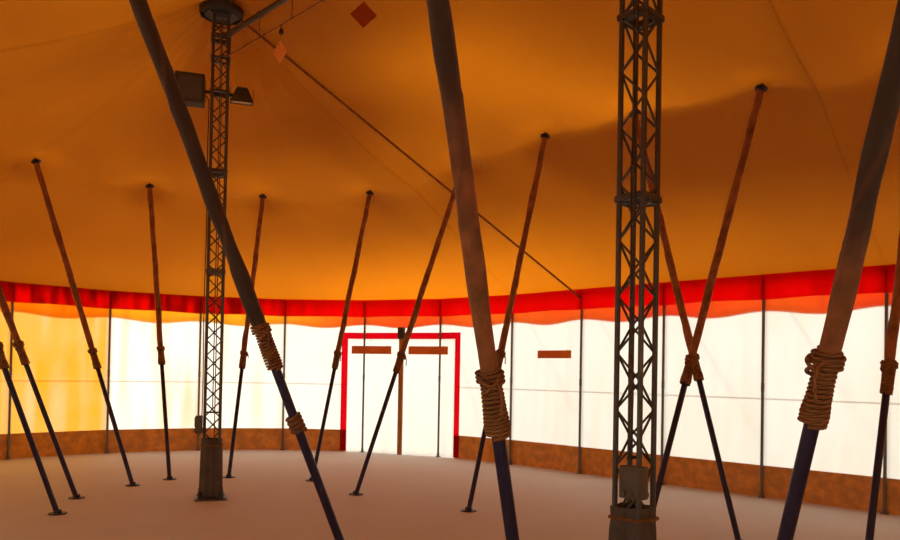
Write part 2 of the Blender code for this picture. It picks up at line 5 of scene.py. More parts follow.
import bmesh
import bpy
from bpy.props import FloatProperty, FloatVectorProperty, PointerProperty
from mathutils import Matrix, Vector, noise


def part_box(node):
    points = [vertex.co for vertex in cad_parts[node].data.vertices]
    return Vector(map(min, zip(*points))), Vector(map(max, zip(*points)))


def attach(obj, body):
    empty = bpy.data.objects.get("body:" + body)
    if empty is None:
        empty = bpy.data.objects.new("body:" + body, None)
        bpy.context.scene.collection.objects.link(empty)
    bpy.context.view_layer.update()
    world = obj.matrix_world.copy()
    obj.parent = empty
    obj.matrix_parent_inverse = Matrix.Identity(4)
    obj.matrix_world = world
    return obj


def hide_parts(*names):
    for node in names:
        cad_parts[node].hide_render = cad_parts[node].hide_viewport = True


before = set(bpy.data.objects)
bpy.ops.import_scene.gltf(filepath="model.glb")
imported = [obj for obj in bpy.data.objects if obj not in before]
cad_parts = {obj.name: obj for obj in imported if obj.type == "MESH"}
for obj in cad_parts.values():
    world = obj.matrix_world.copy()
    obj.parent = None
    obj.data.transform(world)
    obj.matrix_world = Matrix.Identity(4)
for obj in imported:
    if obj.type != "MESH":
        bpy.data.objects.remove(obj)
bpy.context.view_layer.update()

bl_info = {
    "name": "Two-mast marquee tent",
    "version": (1, 0, 0),
    "blender": (4, 5, 0),
    "location": "View3D > Sidebar > Marquee",
    "description": "Builds the cloth, poles, masts, ropes and stage of a marquee tent",
    "category": "Add Mesh",
}

# The plan, in metres: masts on the X axis, a station at each side pole

MAST_SPACING = 6.25
END_RADIUS = 6.0
SIDE_BAYS = 4
END_BAYS = 11
EAVE_HEIGHT = 3.14
PEAK_HEIGHT = 6.6
RIDGE_SAG = 0.4
RING_DISTANCE = 3.45
RING_HEIGHT = 4.8
RING_RISE = 0.25
HEAD_LIFT = 0.1
HEAD_SPREAD = 0.95
MAST_HOLE = 0.16
STATIONS = 2 * (SIDE_BAYS + END_BAYS)
HALF = MAST_SPACING / 2
WEST = SIDE_BAYS
SOUTH = WEST + END_BAYS
EAST = SOUTH + SIDE_BAYS
GROUPS = (("north", 0, WEST), ("west", WEST, SOUTH), ("south", SOUTH, EAST), ("east", EAST, STATIONS))
HUB_TOP = 6.88

WALL_IN = 6.0
BAND_IN = 6.011
BAND_DEPTH = 0.56
SCALLOP = 0.07
POLE_DISTANCE = 5.966
SIDE_POLE_RADIUS = 0.021
VALANCE_DISTANCE = 5.9405
VALANCE_DEPTH = 0.36
DOOR_HALF_BAYS = 0.71
DOOR_HEIGHT = 2.36
FRAME_WIDTH = 0.13
BORDER_DISTANCE = 5.9955
WEST_EXIT = WEST + 1.5
EAST_EXIT = EAST + 1.5
BELT_HEIGHT = 0.05
BELT_DISTANCE = 6.0185
GUY_REACH = 2.3
STAKE_HEIGHT = 0.34
STAKE_LEAN = 0.09
CLOTH_SCALE = 1.7
SHEET_THICKNESS = 0.0035
EYE_RADIUS = 0.009
RING_RADIUS = 0.022
CORNER_SPACE = 0.05

TUBE_RADIUS = 0.03
TIGHT_SLEEVE = 0.0335
SLEEVE_CLIMB = 1.1
LASHING_LENGTH = 0.29
HEAD_RADIUS = 0.05
HEAD_DEPTH = 0.09
FOOT_RADIUS = 0.1
FOOT_THICKNESS = 0.014

MAST_WIDTH = 0.19
LEG_RADIUS = 0.02
BRACE_RADIUS = 0.009
BRACE_PITCH = 0.2
BASE_WIDTH = 0.4
BASE_THICKNESS = 0.02
COLLAR_WIDTH = 0.27
COLLAR_HEIGHTS = (2.95, 4.25)
COLLAR_THICKNESS = 0.03
BOOM_COLLAR = 0.34
BOOM_HEIGHT = 6.02
BOOM_RADIUS = 0.035
CHORD_HEIGHT = 5.74
CHORD_RADIUS = 0.014
TRUSS_BAYS = 8
CROWN_RADIUS = 0.28
CROWN_THICKNESS = 0.09
HUB_RADIUS = 0.1
LAMP_HEIGHT = 5.3
LAMP_REACH = 0.37
FLOOD_REACH = 0.28
LAMP_BOX = (0.26, 0.4, 0.4)
FLOOD_BOX = (0.18, 0.3, 0.28)
SWITCH_BOX = (0.2, 0.12, 0.24)
SWITCH_HEIGHT = 0.97
MASTS = (("west", -HALF, radians(-27)), ("east", HALF, 0.0))

# Head station, foot's reach inwards, foot's reach sideways, height of the lashing
INNER_POLES = (
    (0.36, 1.71, 0.40, 1.62), (1.40, 0.64, -1.71, 1.66), (2.27, 1.46, -0.04, 1.7),
    (3.25, 1.79, 0.25, 1.68), (5.0, 1.46, -0.05, 1.72), (7.05, 1.53, 0.17, 1.7),
    (8.97, 1.51, -0.02, 1.74), (10.85, 1.78, -0.31, 1.66), (12.8, 1.78, -0.1, 1.7),
    (14.73, 1.64, 0.02, 1.65), (16.4, 0.45, -0.35, 1.6), (17.98, 2.07, 0.35, 1.7),
    (19.98, 1.54, 0.08, 1.43), (22.07, 1.59, -0.15, 1.52), (24.4, 1.45, 0.1, 1.6),
    (26.7, 1.5, -0.1, 1.66), (28.95, 1.31, -0.3, 1.58),
)


def size_setting(name, description, default):
    return FloatProperty(name=name, description=description, default=default, unit="LENGTH")


def colour_setting(name, description, *default):
    return FloatVectorProperty(name=name, description=description, default=default, subtype="COLOR")


class MarqueeSizes(bpy.types.PropertyGroup):
    """Sizes of the dressing that can be changed without moving the frame."""

    seam_width: size_setting("Seam width", "Overlap of two canopy widths", 0.045)
    cloth_thickness: size_setting("Cloth thickness", "Canopy cloth with its coating", 0.004)
    wrinkle_depth: size_setting("Wrinkle depth", "Height of the creases round a pole head", 0.014)
    fold_depth: size_setting("Fold depth", "How far the wall cloth billows outwards", 0.05)
    pleat_depth: size_setting("Pleat depth", "How far the inner band swings inwards", 0.038)
    rope_radius: size_setting("Lashing rope radius", "The rope round the leaning poles", 0.0085)
    sleeve_radius: size_setting("Sleeve radius", "The cloth sleeves on the leaning poles", 0.0345)
    guy_radius: size_setting("Guy radius", "The ropes down to the stakes", 0.008)


class MarqueeColours(bpy.types.PropertyGroup):
    """Colours of the finishes."""

    canopy: colour_setting("Canopy", "Canopy cloth in reflected light", 0.88, 0.36, 0.03)
    canopy_glow: colour_setting("Canopy glow", "Light that comes through the canopy", 1.0, 0.265, 0.003)
    wall: colour_setting("Wall", "Wall cloth in reflected light", 0.86, 0.62, 0.24)
    wall_glow: colour_setting("Wall glow", "Light that comes through the wall", 1.0, 0.975, 0.86)
    red: colour_setting("Red band", "Inner band and exit borders", 0.66, 0.008, 0.014)
    skirt: colour_setting("Skirt", "Opaque band at the foot of the wall", 0.54, 0.22, 0.01)
    rope: colour_setting("Rope", "Lashings and guys", 0.33, 0.125, 0.025)
    sleeve: colour_setting("Sleeve", "Cloth sleeves on the poles", 0.33, 0.105, 0.02)
    tube: colour_setting("Pole steel", "Bare steel of the leaning poles", 0.03, 0.022, 0.05)
    mast: colour_setting("Mast paint", "Paint of the lattice masts", 0.09, 0.075, 0.06)


def sizes():
    return bpy.context.scene.marquee_sizes


# The shape of the tent


def wander(*spot):
    """Smooth noise, between about -1 and 1, at three numbers."""
    return noise.noise(Vector(spot))


def up(height):
    return Vector((0, 0, height))


def place(station, distance, height=0.0):
    """The point that lies so far out from the spine at a station round the tent."""
    s = station % STATIONS
    if s < WEST:
        return Vector((HALF - MAST_SPACING * s / SIDE_BAYS, distance, height))
    if s < SOUTH:
        turn = pi * (s - WEST) / END_BAYS
        return Vector((-HALF - distance * sin(turn), distance * cos(turn), height))
    if s < EAST:
        return Vector((-HALF + MAST_SPACING * (s - SOUTH) / SIDE_BAYS, -distance, height))
    turn = pi * (s - EAST) / END_BAYS
    return Vector((HALF + distance * sin(turn), -distance * cos(turn), height))


def outward(station):
    """The level direction away from the spine at a station."""
    return (place(station, 2.0) - place(station, 1.0)).normalized()


def along(station):
    """The level direction along the eave, towards the higher stations."""
    return up(1).cross(outward(station))


def chord_point(station, distance, height):
    """As place, but straight from one whole station to the next."""
    low = floor(station)
    return place(low, distance, height).lerp(place(low + 1, distance, height), station - low)


def bay_length(station, distance=END_RADIUS):
    """The straight length of a bay at a distance from the spine."""
    low = floor(station)
    return (place(low + 1, distance) - place(low, distance)).length


def spine_share(station):
    """1 over the middle of the ridge, falling to 0 at the masts and round the ends."""
    s = station % (STATIONS / 2)
    if s >= SIDE_BAYS:
        return 0.0
    offset = 2 * s / SIDE_BAYS - 1
    return 1 - offset * offset


HEADS = [place(pole[0], RING_DISTANCE) for pole in INNER_POLES]


def canopy_height(station, distance):
    """Height of the canopy's underside, with a low cone over each pole head."""
    share = spine_share(station)
    ridge = PEAK_HEIGHT - RIDGE_SAG * share
    ring = RING_HEIGHT + RING_RISE * sqrt(share) - HEAD_LIFT
    if distance < RING_DISTANCE:
        rise = (1 - distance / RING_DISTANCE) ** (1.25 - 0.2 * share)
        height = ring + (ridge - ring) * rise
    else:
        height = ring + (EAVE_HEIGHT - ring) * (distance - RING_DISTANCE) / (END_RADIUS - RING_DISTANCE)
    spot = place(station, distance)
    for head in HEADS:
        near = (head - spot).length / HEAD_SPREAD
        if near < 1:
            height += HEAD_LIFT * (1 - near) ** 1.5
    return height


def inner_edge(station):
    """How far from the spine the cloth starts: at the hole round each mast, or at the ridge."""
    s = station % (STATIONS / 2)
    if s > SIDE_BAYS:
        return MAST_HOLE
    from_mast = min(s, SIDE_BAYS - s) * MAST_SPACING / SIDE_BAYS
    return max(MAST_HOLE - from_mast, 0.0002)


def ease(value, low=0.0, high=1.0):
    """A smooth step from 0 at low to 1 at high."""
    share = min(1.0, max(0.0, (value - low) / (high - low)))
    return share * share * (3 - 2 * share)


def creases(spot):
    """Radial creases that run out from each pole head, and the slow waves between them."""
    total = 0.0
    for number, head in enumerate(HEADS):
        away = spot - head
        reach = away.length
        if reach > 1.3:
            continue
        turn = atan2(away.y, away.x)
        fade = (1 - exp(-((reach / 0.12) ** 2))) * exp(-reach / 0.34)
        total += fade * (cos(9 * turn + number) + 0.5 * cos(14 * turn + 2.3 * number))
    return total


def canopy_spot(station, distance):
    """A point of the canopy's underside; the bays turn from straight at the eave to round above."""
    bend = ease(END_RADIUS - distance, 0.0, 1.6)
    spot = chord_point(station, distance, 0).lerp(place(station, distance), bend)
    height = canopy_height(station, distance) + 0.002
    inside = ease(distance, 0.1, 0.9) * (1 - ease(distance, 5.5, END_RADIUS))
    flat = Vector((spot.x, spot.y, 0))
    height -= sizes().wrinkle_depth * (1 + creases(flat)) * inside * 0.8
    part = station % 1
    slack = sin(pi * min(1.0, distance / END_RADIUS)) * (0.5 - 0.5 * cos(tau * part))
    height -= 0.022 * slack
    height += 0.012 * inside * wander(spot.x * 0.7, spot.y * 0.7, 3.1)
    gathers = exp(-distance / 0.8) * ease(distance, 0.16, 0.5)
    height -= 0.010 * gathers * abs(sin(pi * station))
    spot.z = height
    return spot


def head_height(station):
    """Where the canopy's underside is over a pole head, less the cap's clearance."""
    return canopy_spot(station, RING_DISTANCE).z - 0.004


# Finishes

WHITE = (1.0, 1.0, 1.0)

# How much of a cloth's inner skin lets light through
INNER_SHARE = 0.98


class Wire:
    """A shader output; sums and products on it add their Math nodes."""

    def __init__(self, finish, socket):
        self.finish = finish
        self.socket = socket

    def math(self, operation, first, second):
        return self.finish.node("ShaderNodeMath", {"operation": operation}, {0: first, 1: second})

    def __add__(self, other):
        return self.math("ADD", self, other)

    def __radd__(self, other):
        return self.math("ADD", other, self)

    def __sub__(self, other):
        return self.math("SUBTRACT", self, other)

    def __rsub__(self, other):
        return self.math("SUBTRACT", other, self)

    def __mul__(self, other):
        return self.math("MULTIPLY", self, other)

    def __rmul__(self, other):
        return self.math("MULTIPLY", other, self)

    def sin(self):
        return self.math("SINE", self, 0.0)

    def fraction(self):
        return self.math("FRACT", self, 0.0)

    def least(self, other):
        return self.math("MINIMUM", self, other)

    def between(self, low, high, start=0.0, end=1.0):
        """Maps low to start and high to end, eased and held at both."""
        return self.finish.node(
            "ShaderNodeMapRange",
            {"interpolation_type": "SMOOTHSTEP", "clamp": True},
            {"Value": self, "From Min": low, "From Max": high, "To Min": start, "To Max": end},
        )


class Finish:
    """A material under construction."""

    def __init__(self, name):
        self.material = bpy.data.materials.new(name)
        self.material.use_nodes = True
        self.tree = self.material.node_tree
        self.tree.nodes.clear()
        self.end = self.tree.nodes.new("ShaderNodeOutputMaterial")

    def node(self, kind, settings=None, values=None, output=0):
        made = self.tree.nodes.new(kind)
        for key, value in (settings or {}).items():
            setattr(made, key, value)
        for key, value in (values or {}).items():
            if isinstance(value, Wire):
                self.tree.links.new(value.socket, made.inputs[key])
            else:
                made.inputs[key].default_value = value
        return Wire(self, made.outputs[output])

    def where(self):
        return self.node("ShaderNodeTexCoord", output="Object")

    def stretched(self, scale):
        return self.node("ShaderNodeMapping", values={"Vector": self.where(), "Scale": scale})

    def uv(self, layer):
        """The two values of one of the piece's own UV maps."""
        vector = self.node("ShaderNodeUVMap", {"uv_map": layer})
        apart = self.tree.nodes.new("ShaderNodeSeparateXYZ")
        self.tree.links.new(vector.socket, apart.inputs[0])
        return Wire(self, apart.outputs[0]), Wire(self, apart.outputs[1])

    def noise(self, scale, detail=3.0, rough=0.55, vector=None):
        return self.node(
            "ShaderNodeTexNoise",
            values={"Vector": vector or self.where(), "Scale": scale, "Detail": detail, "Roughness": rough},
        )

    def mix(self, share, one, two):
        """Colour one where share is 0, colour two where it is 1."""
        one, two = ((*side, 1.0) if isinstance(side, tuple) else side for side in (one, two))
        return self.node("ShaderNodeMix", {"data_type": "RGBA"}, {0: share, 6: one, 7: two}, output=2)

    def surface(self, base, rough, **values):
        named = {key.replace("_", " "): value for key, value in values.items()}
        return self.node("ShaderNodeBsdfPrincipled", values={"Base Color": base, "Roughness": rough, **named})

    def rough_surface(self, base, rough, height, strength, distance, **values):
        """A surface with the bumps of height, which are as deep as distance."""
        bump = self.node("ShaderNodeBump", values={"Height": height, "Strength": strength, "Distance": distance})
        return self.surface(base, rough, Normal=bump, **values)

    def through(self, colour):
        return self.node("ShaderNodeBsdfTranslucent", values={"Color": (*colour, 1.0)})

    def blend(self, share, one, two):
        return self.node("ShaderNodeMixShader", values={0: share, 1: one, 2: two})

    def done(self, shader):
        self.tree.links.new(shader.socket, self.end.inputs["Surface"])
        return self.material


def shade(colour, factor):
    return tuple(min(1.0, c * factor) for c in colour)


def paint(key, factor=1.0):
    """One of the panel's colours, lighter or darker by factor."""
    return shade(getattr(bpy.context.scene.marquee_colours, key), factor)


FINISHES = {}


def finish(name):
    """The named finish, made the first time that it is asked for."""
    if name not in FINISHES:
        FINISHES[name] = MAKERS[name](name)
    return FINISHES[name]


def lit_cloth(f, front, bright, dim, tone, share, opaque=None):
    """The outer skin colours the light that comes through; the inner skin only spreads it."""
    inner = f.uv("side")[0]
    coloured = f.blend(tone.least(1.0), f.through(bright), f.through(dim))
    share = share + (INNER_SHARE - share) * inner
    if opaque is not None:
        share = share * (1 - opaque)
    return f.done(f.blend(share, front, f.blend(inner, coloured, f.through(WHITE))))


def coated_cloth(name, face, bright, dim, share, stain, weave=0.2, double=0.34, clouding=0.24):
    """Coated cloth that glows in the light behind it: seams are double, the tone wanders at random and carries any
    painted light and shade from the marks map.
    """
    f = Finish(name)
    seam, tone = f.uv("marks")
    clouds = f.noise(0.55, 4.0, 0.6)
    stains = f.noise(2.3, 6.0, 0.62).between(0.52, 0.78)
    specks = f.noise(60.0, 2.0, 0.5)
    worn = f.mix(stains * 0.35, face, shade(face, stain))
    base = f.mix(seam * (double * 1.4), worn, shade(face, 0.6))
    ripple = specks * 0.35 + f.noise(9.0, 3.0) * 0.65 + seam * 2.0
    rough = specks.between(0.3, 0.7, 0.42, 0.58)
    front = f.rough_surface(base, rough, ripple, weave, 0.003, Specular_IOR_Level=0.35)
    tone = (clouds.between(0.3, 0.75) - 0.5) * clouding + tone
    return lit_cloth(f, front, bright, dim, tone, share - seam * double - stains * 0.06)


def canopy_finish(name):
    glow = paint("canopy_glow")
    # The dim colour is the roof's painted shade; the tone in the marks map sets how much of it each spot takes.
    dim = (glow[0] * 0.1, glow[1] * 0.055, glow[2] * 0.1)
    return coated_cloth(name, paint("canopy"), glow, dim, 0.65, 0.8, weave=0.12, double=0.06, clouding=0.06)


def band_finish(name):
    """The outer band, a redder cloth than the roof's."""
    return coated_cloth(name, (0.80, 0.14, 0.015), (1.0, 0.44, 0.01), (1.0, 0.035, 0.008), 0.9, 0.8, double=0.25)


def red_finish(name):
    """The cloth of the inner band and of the exit borders."""
    # The dim colour paints the inner band's shade where its tone asks for it; the borders take a fixed share of it.
    bright, dim = (1.0, 0.002, 0.014), (0.22, 0.0004, 0.0006)
    return coated_cloth(name, paint("red"), bright, dim, 0.88, 0.72, weave=0.3, double=0.2)


def flap_finish(name):
    """The cloth of the exit leaves, as the wall's but without a skirt."""
    dim = (0.96, 0.55, 0.09)
    return coated_cloth(name, paint("wall"), paint("wall_glow"), dim, 0.86, 0.75, weave=0.3, clouding=0.1)


def wall_finish(name):
    """Thin wall cloth; a brown opaque skirt takes over at the foot."""
    f = Finish(name)
    seam, tone = f.uv("marks")
    skirt = f.uv("cloth")[1].between(0.455, 0.45)
    clouds = f.noise(0.8, 4.0, 0.6)
    soil = f.noise(5.0, 6.0, 0.65).between(0.5, 0.8)
    specks = f.noise(90.0, 2.0, 0.5)
    cloth = f.mix(soil * 0.3, paint("wall"), paint("wall", 0.7))
    # Painted shade: the tone turns the cloth towards deep orange here, and at the end it dims and reddens the light
    # that comes through.
    cloth = f.mix(tone * 0.95, cloth, (0.85, 0.36, 0.02))
    foot = f.mix(f.noise(7.0, 5.0).between(0.35, 0.7), paint("skirt"), paint("skirt", 1.5))
    base = f.mix(skirt, f.mix(seam * 0.5, cloth, paint("wall", 0.55)), foot)
    ripple = specks * 0.3 + f.noise(12.0, 3.0) * 0.7 + seam * 1.5
    front = f.rough_surface(base, specks.between(0.3, 0.7, 0.4, 0.55), ripple, 0.25, 0.003)
    tone = tone * 0.92 + clouds.between(0.4, 0.8) * 0.08
    return lit_cloth(f, front, paint("wall_glow"), (0.94, 0.40, 0.006), tone, 0.84 - seam * 0.45, skirt * 0.94)


def plain_canopy(name):
    """The canopy's cloth on pieces without seams."""
    f = Finish(name)
    soil = f.noise(4.0, 6.0, 0.62).between(0.45, 0.75)
    fine = f.noise(70.0, 2.0)
    base = f.mix(soil * 0.4, paint("canopy", 0.5), paint("canopy", 0.3))
    return f.done(f.rough_surface(base, fine.between(0.3, 0.7, 0.45, 0.6), fine, 0.25, 0.002))


def rope_finish(name):
    """Three-strand rope: the strands climb across the piece's own length."""
    f = Finish(name)
    across, length = f.uv("cloth")
    ridge = ((across * 3.0 + length * 22.0).fraction() * pi).sin()
    fibre = f.noise(260.0, 3.0, 0.6)
    worn = f.noise(11.0, 4.0).between(0.35, 0.72)
    # The grooves between the strands are painted darker, as shade.
    base = f.mix(ridge.between(0.1, 0.8), paint("rope", 0.45), f.mix(worn, paint("rope"), paint("rope", 0.62)))
    rough = fibre.between(0.2, 0.8, 0.75, 0.95)
    return f.done(f.rough_surface(base, rough, ridge * 0.8 + fibre * 0.3, 0.9, 0.004))


def webbing_finish(name):
    """Flat woven webbing, with its ribs across."""
    f = Finish(name)
    rib = (f.uv("cloth")[0] * 900.0).sin() * 0.5 + 0.5
    soil = f.noise(8.0, 5.0).between(0.35, 0.7)
    base = f.mix(rib * 0.25 + soil * 0.4, paint("rope", 1.15), paint("rope", 0.55))
    return f.done(f.rough_surface(base, soil.between(0.0, 1.0, 0.8, 0.9), rib, 0.3, 0.001))


def sleeve_finish(name):
    """Wound canvas, brown, with painted shade along the spiral edges where one turn lies on the next, and on the
    stretches that the marks map darkens.
    """
    f = Finish(name)
    across, length = f.uv("cloth")
    sleeve_shade = f.uv("marks")[1]
    weft = (length * 900.0).sin() * 0.5 + (across * 320.0).sin() * 0.5
    wrap = ((across + length * SLEEVE_CLIMB).fraction() - 0.5) * 2.0
    edge = (wrap * wrap).between(0.72, 0.98)
    grime = f.noise(6.0, 6.0, 0.62)
    base = f.mix(grime.between(0.35, 0.7), paint("sleeve"), paint("sleeve", 0.5))
    # Painted shade, nearly black, on the stretches that the marks map gives.
    base = f.mix(sleeve_shade, base, (0.045, 0.021, 0.007))
    # Painted shade along the spiral edges of the turns.
    base = f.mix(edge * 0.55, base, paint("sleeve", 0.4))
    height = weft * 0.12 + edge * 0.8 + f.noise(30.0, 3.0) * 0.5
    return f.done(f.rough_surface(base, grime.between(0.3, 0.7, 0.75, 0.92), height, 0.8, 0.004, Sheen_Weight=0.15))


def padding_finish(name):
    """Grey felted cloth."""
    f = Finish(name)
    fibre = f.noise(180.0, 3.0, 0.6)
    soil = f.noise(6.0, 5.0, 0.6).between(0.4, 0.75)
    base = f.mix(soil * 0.6, (0.10, 0.078, 0.06), (0.05, 0.038, 0.03))
    return f.done(f.rough_surface(base, fibre.between(0.2, 0.8, 0.8, 0.95), fibre, 0.4, 0.002))


def worn_metal(name, coat, bare, rust, wear, roughness, metallic):
    """Painted or dull steel, with bare rubbed spots and rust in the low places."""
    f = Finish(name)
    broad = f.noise(3.0, 5.0, 0.6)
    spots = f.noise(24.0, 6.0, 0.65)
    streak = f.noise(14.0, 4.0, 0.6, f.stretched((1.0, 1.0, 0.12)))
    rubbed = (broad * 0.45 + streak * 0.55).between(0.55, 0.55 + wear)
    rusty = (spots * 0.6 + broad * 0.4).between(0.56, 0.72)
    base = f.mix(rusty * 0.6, f.mix(rubbed * 0.7, coat, bare), rust)
    rough = roughness + rusty * 0.3 - rubbed * 0.08 + (spots - 0.5) * 0.2
    height = spots * 0.5 + rusty * 0.6
    return f.done(f.rough_surface(base, rough, height, 0.35, 0.0015, Metallic=metallic * (1 - rusty)))


def post_wood(name):
    """Sawn timber with long grain, darkened by handling."""
    f = Finish(name)
    grain = f.noise(26.0, 5.0, 0.6, f.stretched((1.0, 1.0, 0.06)))
    rings = (grain * 28.0).sin() * 0.5 + 0.5
    grime = f.noise(4.0, 4.0).between(0.4, 0.75)
    base = f.mix(rings * 0.6 + grain * 0.3, (0.52, 0.22, 0.055), (0.30, 0.115, 0.03))
    base = f.mix(grime * 0.35, base, (0.10, 0.04, 0.016))
    return f.done(f.rough_surface(base, grain.between(0.3, 0.7, 0.6, 0.8), rings * 0.5 + grain, 0.4, 0.002))


def plastic(name, colour, roughness):
    """Moulded plastic with a fine grain and handling marks."""
    f = Finish(name)
    fine = f.noise(300.0, 2.0)
    marks = f.noise(9.0, 6.0, 0.65).between(0.55, 0.75)
    base = f.mix(marks * 0.35, colour, shade(colour, 1.6))
    return f.done(f.rough_surface(base, roughness + marks * 0.15 + (fine - 0.5) * 0.08, fine, 0.15, 0.0006))


def board_finish(name):
    """Bare signboard of thin orange sheet, sun-faded towards one end."""
    f = Finish(name)
    fade = f.noise(3.0, 3.0)
    grain = f.noise(45.0, 5.0, 0.6, f.stretched((0.2, 0.2, 1.0)))
    base = f.mix(fade.between(0.3, 0.7), (0.55, 0.14, 0.03), (0.70, 0.22, 0.05))
    base = f.mix(grain.between(0.45, 0.8) * 0.3, base, (0.30, 0.07, 0.02))
    front = f.rough_surface(base, grain.between(0.2, 0.8, 0.5, 0.7), grain, 0.2, 0.001)
    return f.done(f.blend(0.4, front, f.through((0.80, 0.30, 0.05))))


def pendant_finish(name, one, two, glow):
    """Thin orange sheet that lets some light through."""
    f = Finish(name)
    fade = f.noise(12.0, 3.0)
    front = f.surface(f.mix(fade, one, two), fade.between(0.3, 0.7, 0.5, 0.65))
    return f.done(f.blend(0.45, front, f.through(glow)))


def glass_finish(name):
    """Frosted lamp glass."""
    f = Finish(name)
    dust = f.noise(40.0, 5.0, 0.6)
    base = f.mix(dust.between(0.4, 0.8), (0.8, 0.72, 0.6), (0.55, 0.47, 0.36))
    return f.done(f.surface(base, dust.between(0.3, 0.8, 0.12, 0.4), Coat_Weight=0.6))


def floor_finish(name):
    f = Finish(name)
    dust = f.noise(1.4, 4.0).between(0.3, 0.7)
    return f.done(f.surface(f.mix(dust, (0.58, 0.56, 0.53), (0.55, 0.53, 0.50)), 0.75))


MAKERS = {
    "canopy_cloth": canopy_finish, "canopy_cloth_plain": plain_canopy, "band_cloth": band_finish,
    "wall_cloth": wall_finish, "flap_cloth": flap_finish, "red_cloth": red_finish, "webbing": webbing_finish,
    "rope": rope_finish, "sleeve_cloth": sleeve_finish, "padding": padding_finish, "post_wood": post_wood,
    "board": board_finish, "lamp_glass": glass_finish, "pale_floor": floor_finish,
    # Coat, bare metal, rust, how soon it is rubbed bare, roughness, metallic
    "pole_steel": lambda n: worn_metal(n, paint("tube"), (0.12, 0.095, 0.15), (0.07, 0.028, 0.012), 0.2, 0.45, 0.6),
    "mast_paint": lambda n: worn_metal(n, paint("mast"), (0.30, 0.28, 0.26), (0.17, 0.07, 0.03), 0.22, 0.48, 0.45),
    "galvanised_steel": lambda n: worn_metal(
        n, (0.17, 0.165, 0.165), (0.34, 0.34, 0.34), (0.13, 0.08, 0.05), 0.25, 0.5, 0.7,
    ),
    "dark_iron": lambda n: worn_metal(n, (0.05, 0.045, 0.04), (0.2, 0.19, 0.18), (0.14, 0.06, 0.03), 0.2, 0.55, 0.5),
    "lamp_black": lambda n: plastic(n, (0.05, 0.04, 0.02), 0.75),
    "box_grey": lambda n: plastic(n, (0.10, 0.08, 0.06), 0.6),
    "cable_black": lambda n: plastic(n, (0.02, 0.02, 0.02), 0.4),
    "pendant_pale": lambda n: pendant_finish(n, (0.95, 0.46, 0.12), (0.80, 0.36, 0.08), (1.0, 0.62, 0.18)),
    "pendant_deep": lambda n: pendant_finish(n, (0.46, 0.11, 0.01), (0.36, 0.085, 0.01), (0.62, 0.10, 0.005)),
}


# Ways of making


def link(name, data):
    """A new object in the scene."""
    made = bpy.data.objects.new(name, data)
    bpy.context.collection.objects.link(made)
    return made


def standing(centre, turn):
    """The place of a piece that stands upright at centre, turned about its axis."""
    return Matrix.Translation(centre) @ Matrix.Rotation(turn, 4, "Z")


def deselect():
    for other in list(bpy.context.selected_objects):
        other.select_set(False)


def only(obj):
    """Makes obj the one selected and active object."""
    deselect()
    obj.select_set(True)
    bpy.context.view_layer.objects.active = obj
    return obj


def settle(obj):
    """Moves an object's place, turn and scale into its mesh."""
    only(obj)
    bpy.ops.object.transform_apply(location=True, rotation=True, scale=True)
    return obj


def add(kind, **values):
    """Adds one of Blender's primitives, alone and settled."""
    deselect()
    getattr(bpy.ops.mesh, f"primitive_{kind}_add")(**values)
    return settle(bpy.context.object)


def edit(obj, part, choose, *steps):
    """Runs edit-mode steps on the faces, edges or vertices that choose picks."""
    only(obj)
    bpy.ops.object.mode_set(mode="EDIT")
    bpy.ops.mesh.select_mode(type={"faces": "FACE", "edges": "EDGE", "verts": "VERT"}[part])
    bpy.ops.mesh.select_all(action="DESELECT")
    bm = bmesh.from_edit_mesh(obj.data)
    for element in getattr(bm, part):
        element.select_set(bool(choose(element)))
    bm.select_flush_mode()
    bmesh.update_edit_mesh(obj.data)
    for step in steps:
        step()
    bpy.ops.object.mode_set(mode="OBJECT")


def rim_edges(edge):
    """The edges of a tube's two flat ends."""
    return any(len(face.verts) > 4 for face in edge.link_faces)


def round_edges(obj, width, choose=lambda edge: True, segments=1):
    edit(obj, "edges", choose, lambda: bpy.ops.mesh.bevel(offset=width, segments=segments))


def slab(centre, size, bevel=0.0, turn=0.0, segments=1):
    """A block with softened edges; turn is about the upright axis."""
    made = add("cube", size=1.0)
    made.data.transform(Matrix.Diagonal((*size, 1.0)))
    if bevel:
        round_edges(made, bevel, segments=segments)
    made.data.transform(standing(centre, turn))
    return made


def rod(start, end, radius, sides=12, bevel=0.0):
    """A round bar between two points."""
    start, end = Vector(start), Vector(end)
    way = end - start
    made = add("cylinder", vertices=sides, radius=radius, depth=way.length)
    if bevel:
        round_edges(made, bevel, rim_edges)
    turn = way.to_track_quat("Z", "Y").to_matrix().to_4x4()
    made.data.transform(Matrix.Translation((start + end) / 2) @ turn)
    return made


def turned(profile, sides, centre=(0, 0, 0), lean=None):
    """A closed round form: a profile of (radius, height) spun about the upright axis."""
    deselect()
    bm = bmesh.new()
    points = [bm.verts.new((radius, 0, height)) for radius, height in profile]
    for one, two in zip(points, points[1:]):
        bm.edges.new((one, two))
    mesh = bpy.data.meshes.new("turned")
    bm.to_mesh(mesh)
    bm.free()
    made = link("turned", mesh)
    edit(
        made, "verts", lambda v: True,
        lambda: bpy.ops.mesh.spin(steps=sides, angle=tau, center=(0, 0, 0), axis=(0, 0, 1)),
        lambda: bpy.ops.mesh.select_all(action="SELECT"),
        lambda: bpy.ops.mesh.remove_doubles(threshold=0.00005),
        lambda: bpy.ops.mesh.normals_make_consistent(inside=False),
    )
    turn = Matrix.Identity(4) if lean is None else Vector(lean).to_track_quat("Z", "Y").to_matrix().to_4x4()
    made.data.transform(Matrix.Translation(centre) @ turn)
    return made


def copy_of(obj, matrix):
    """A copy with its own mesh, moved by matrix."""
    made = link(obj.name, obj.data.copy())
    made.data.transform(matrix)
    return made


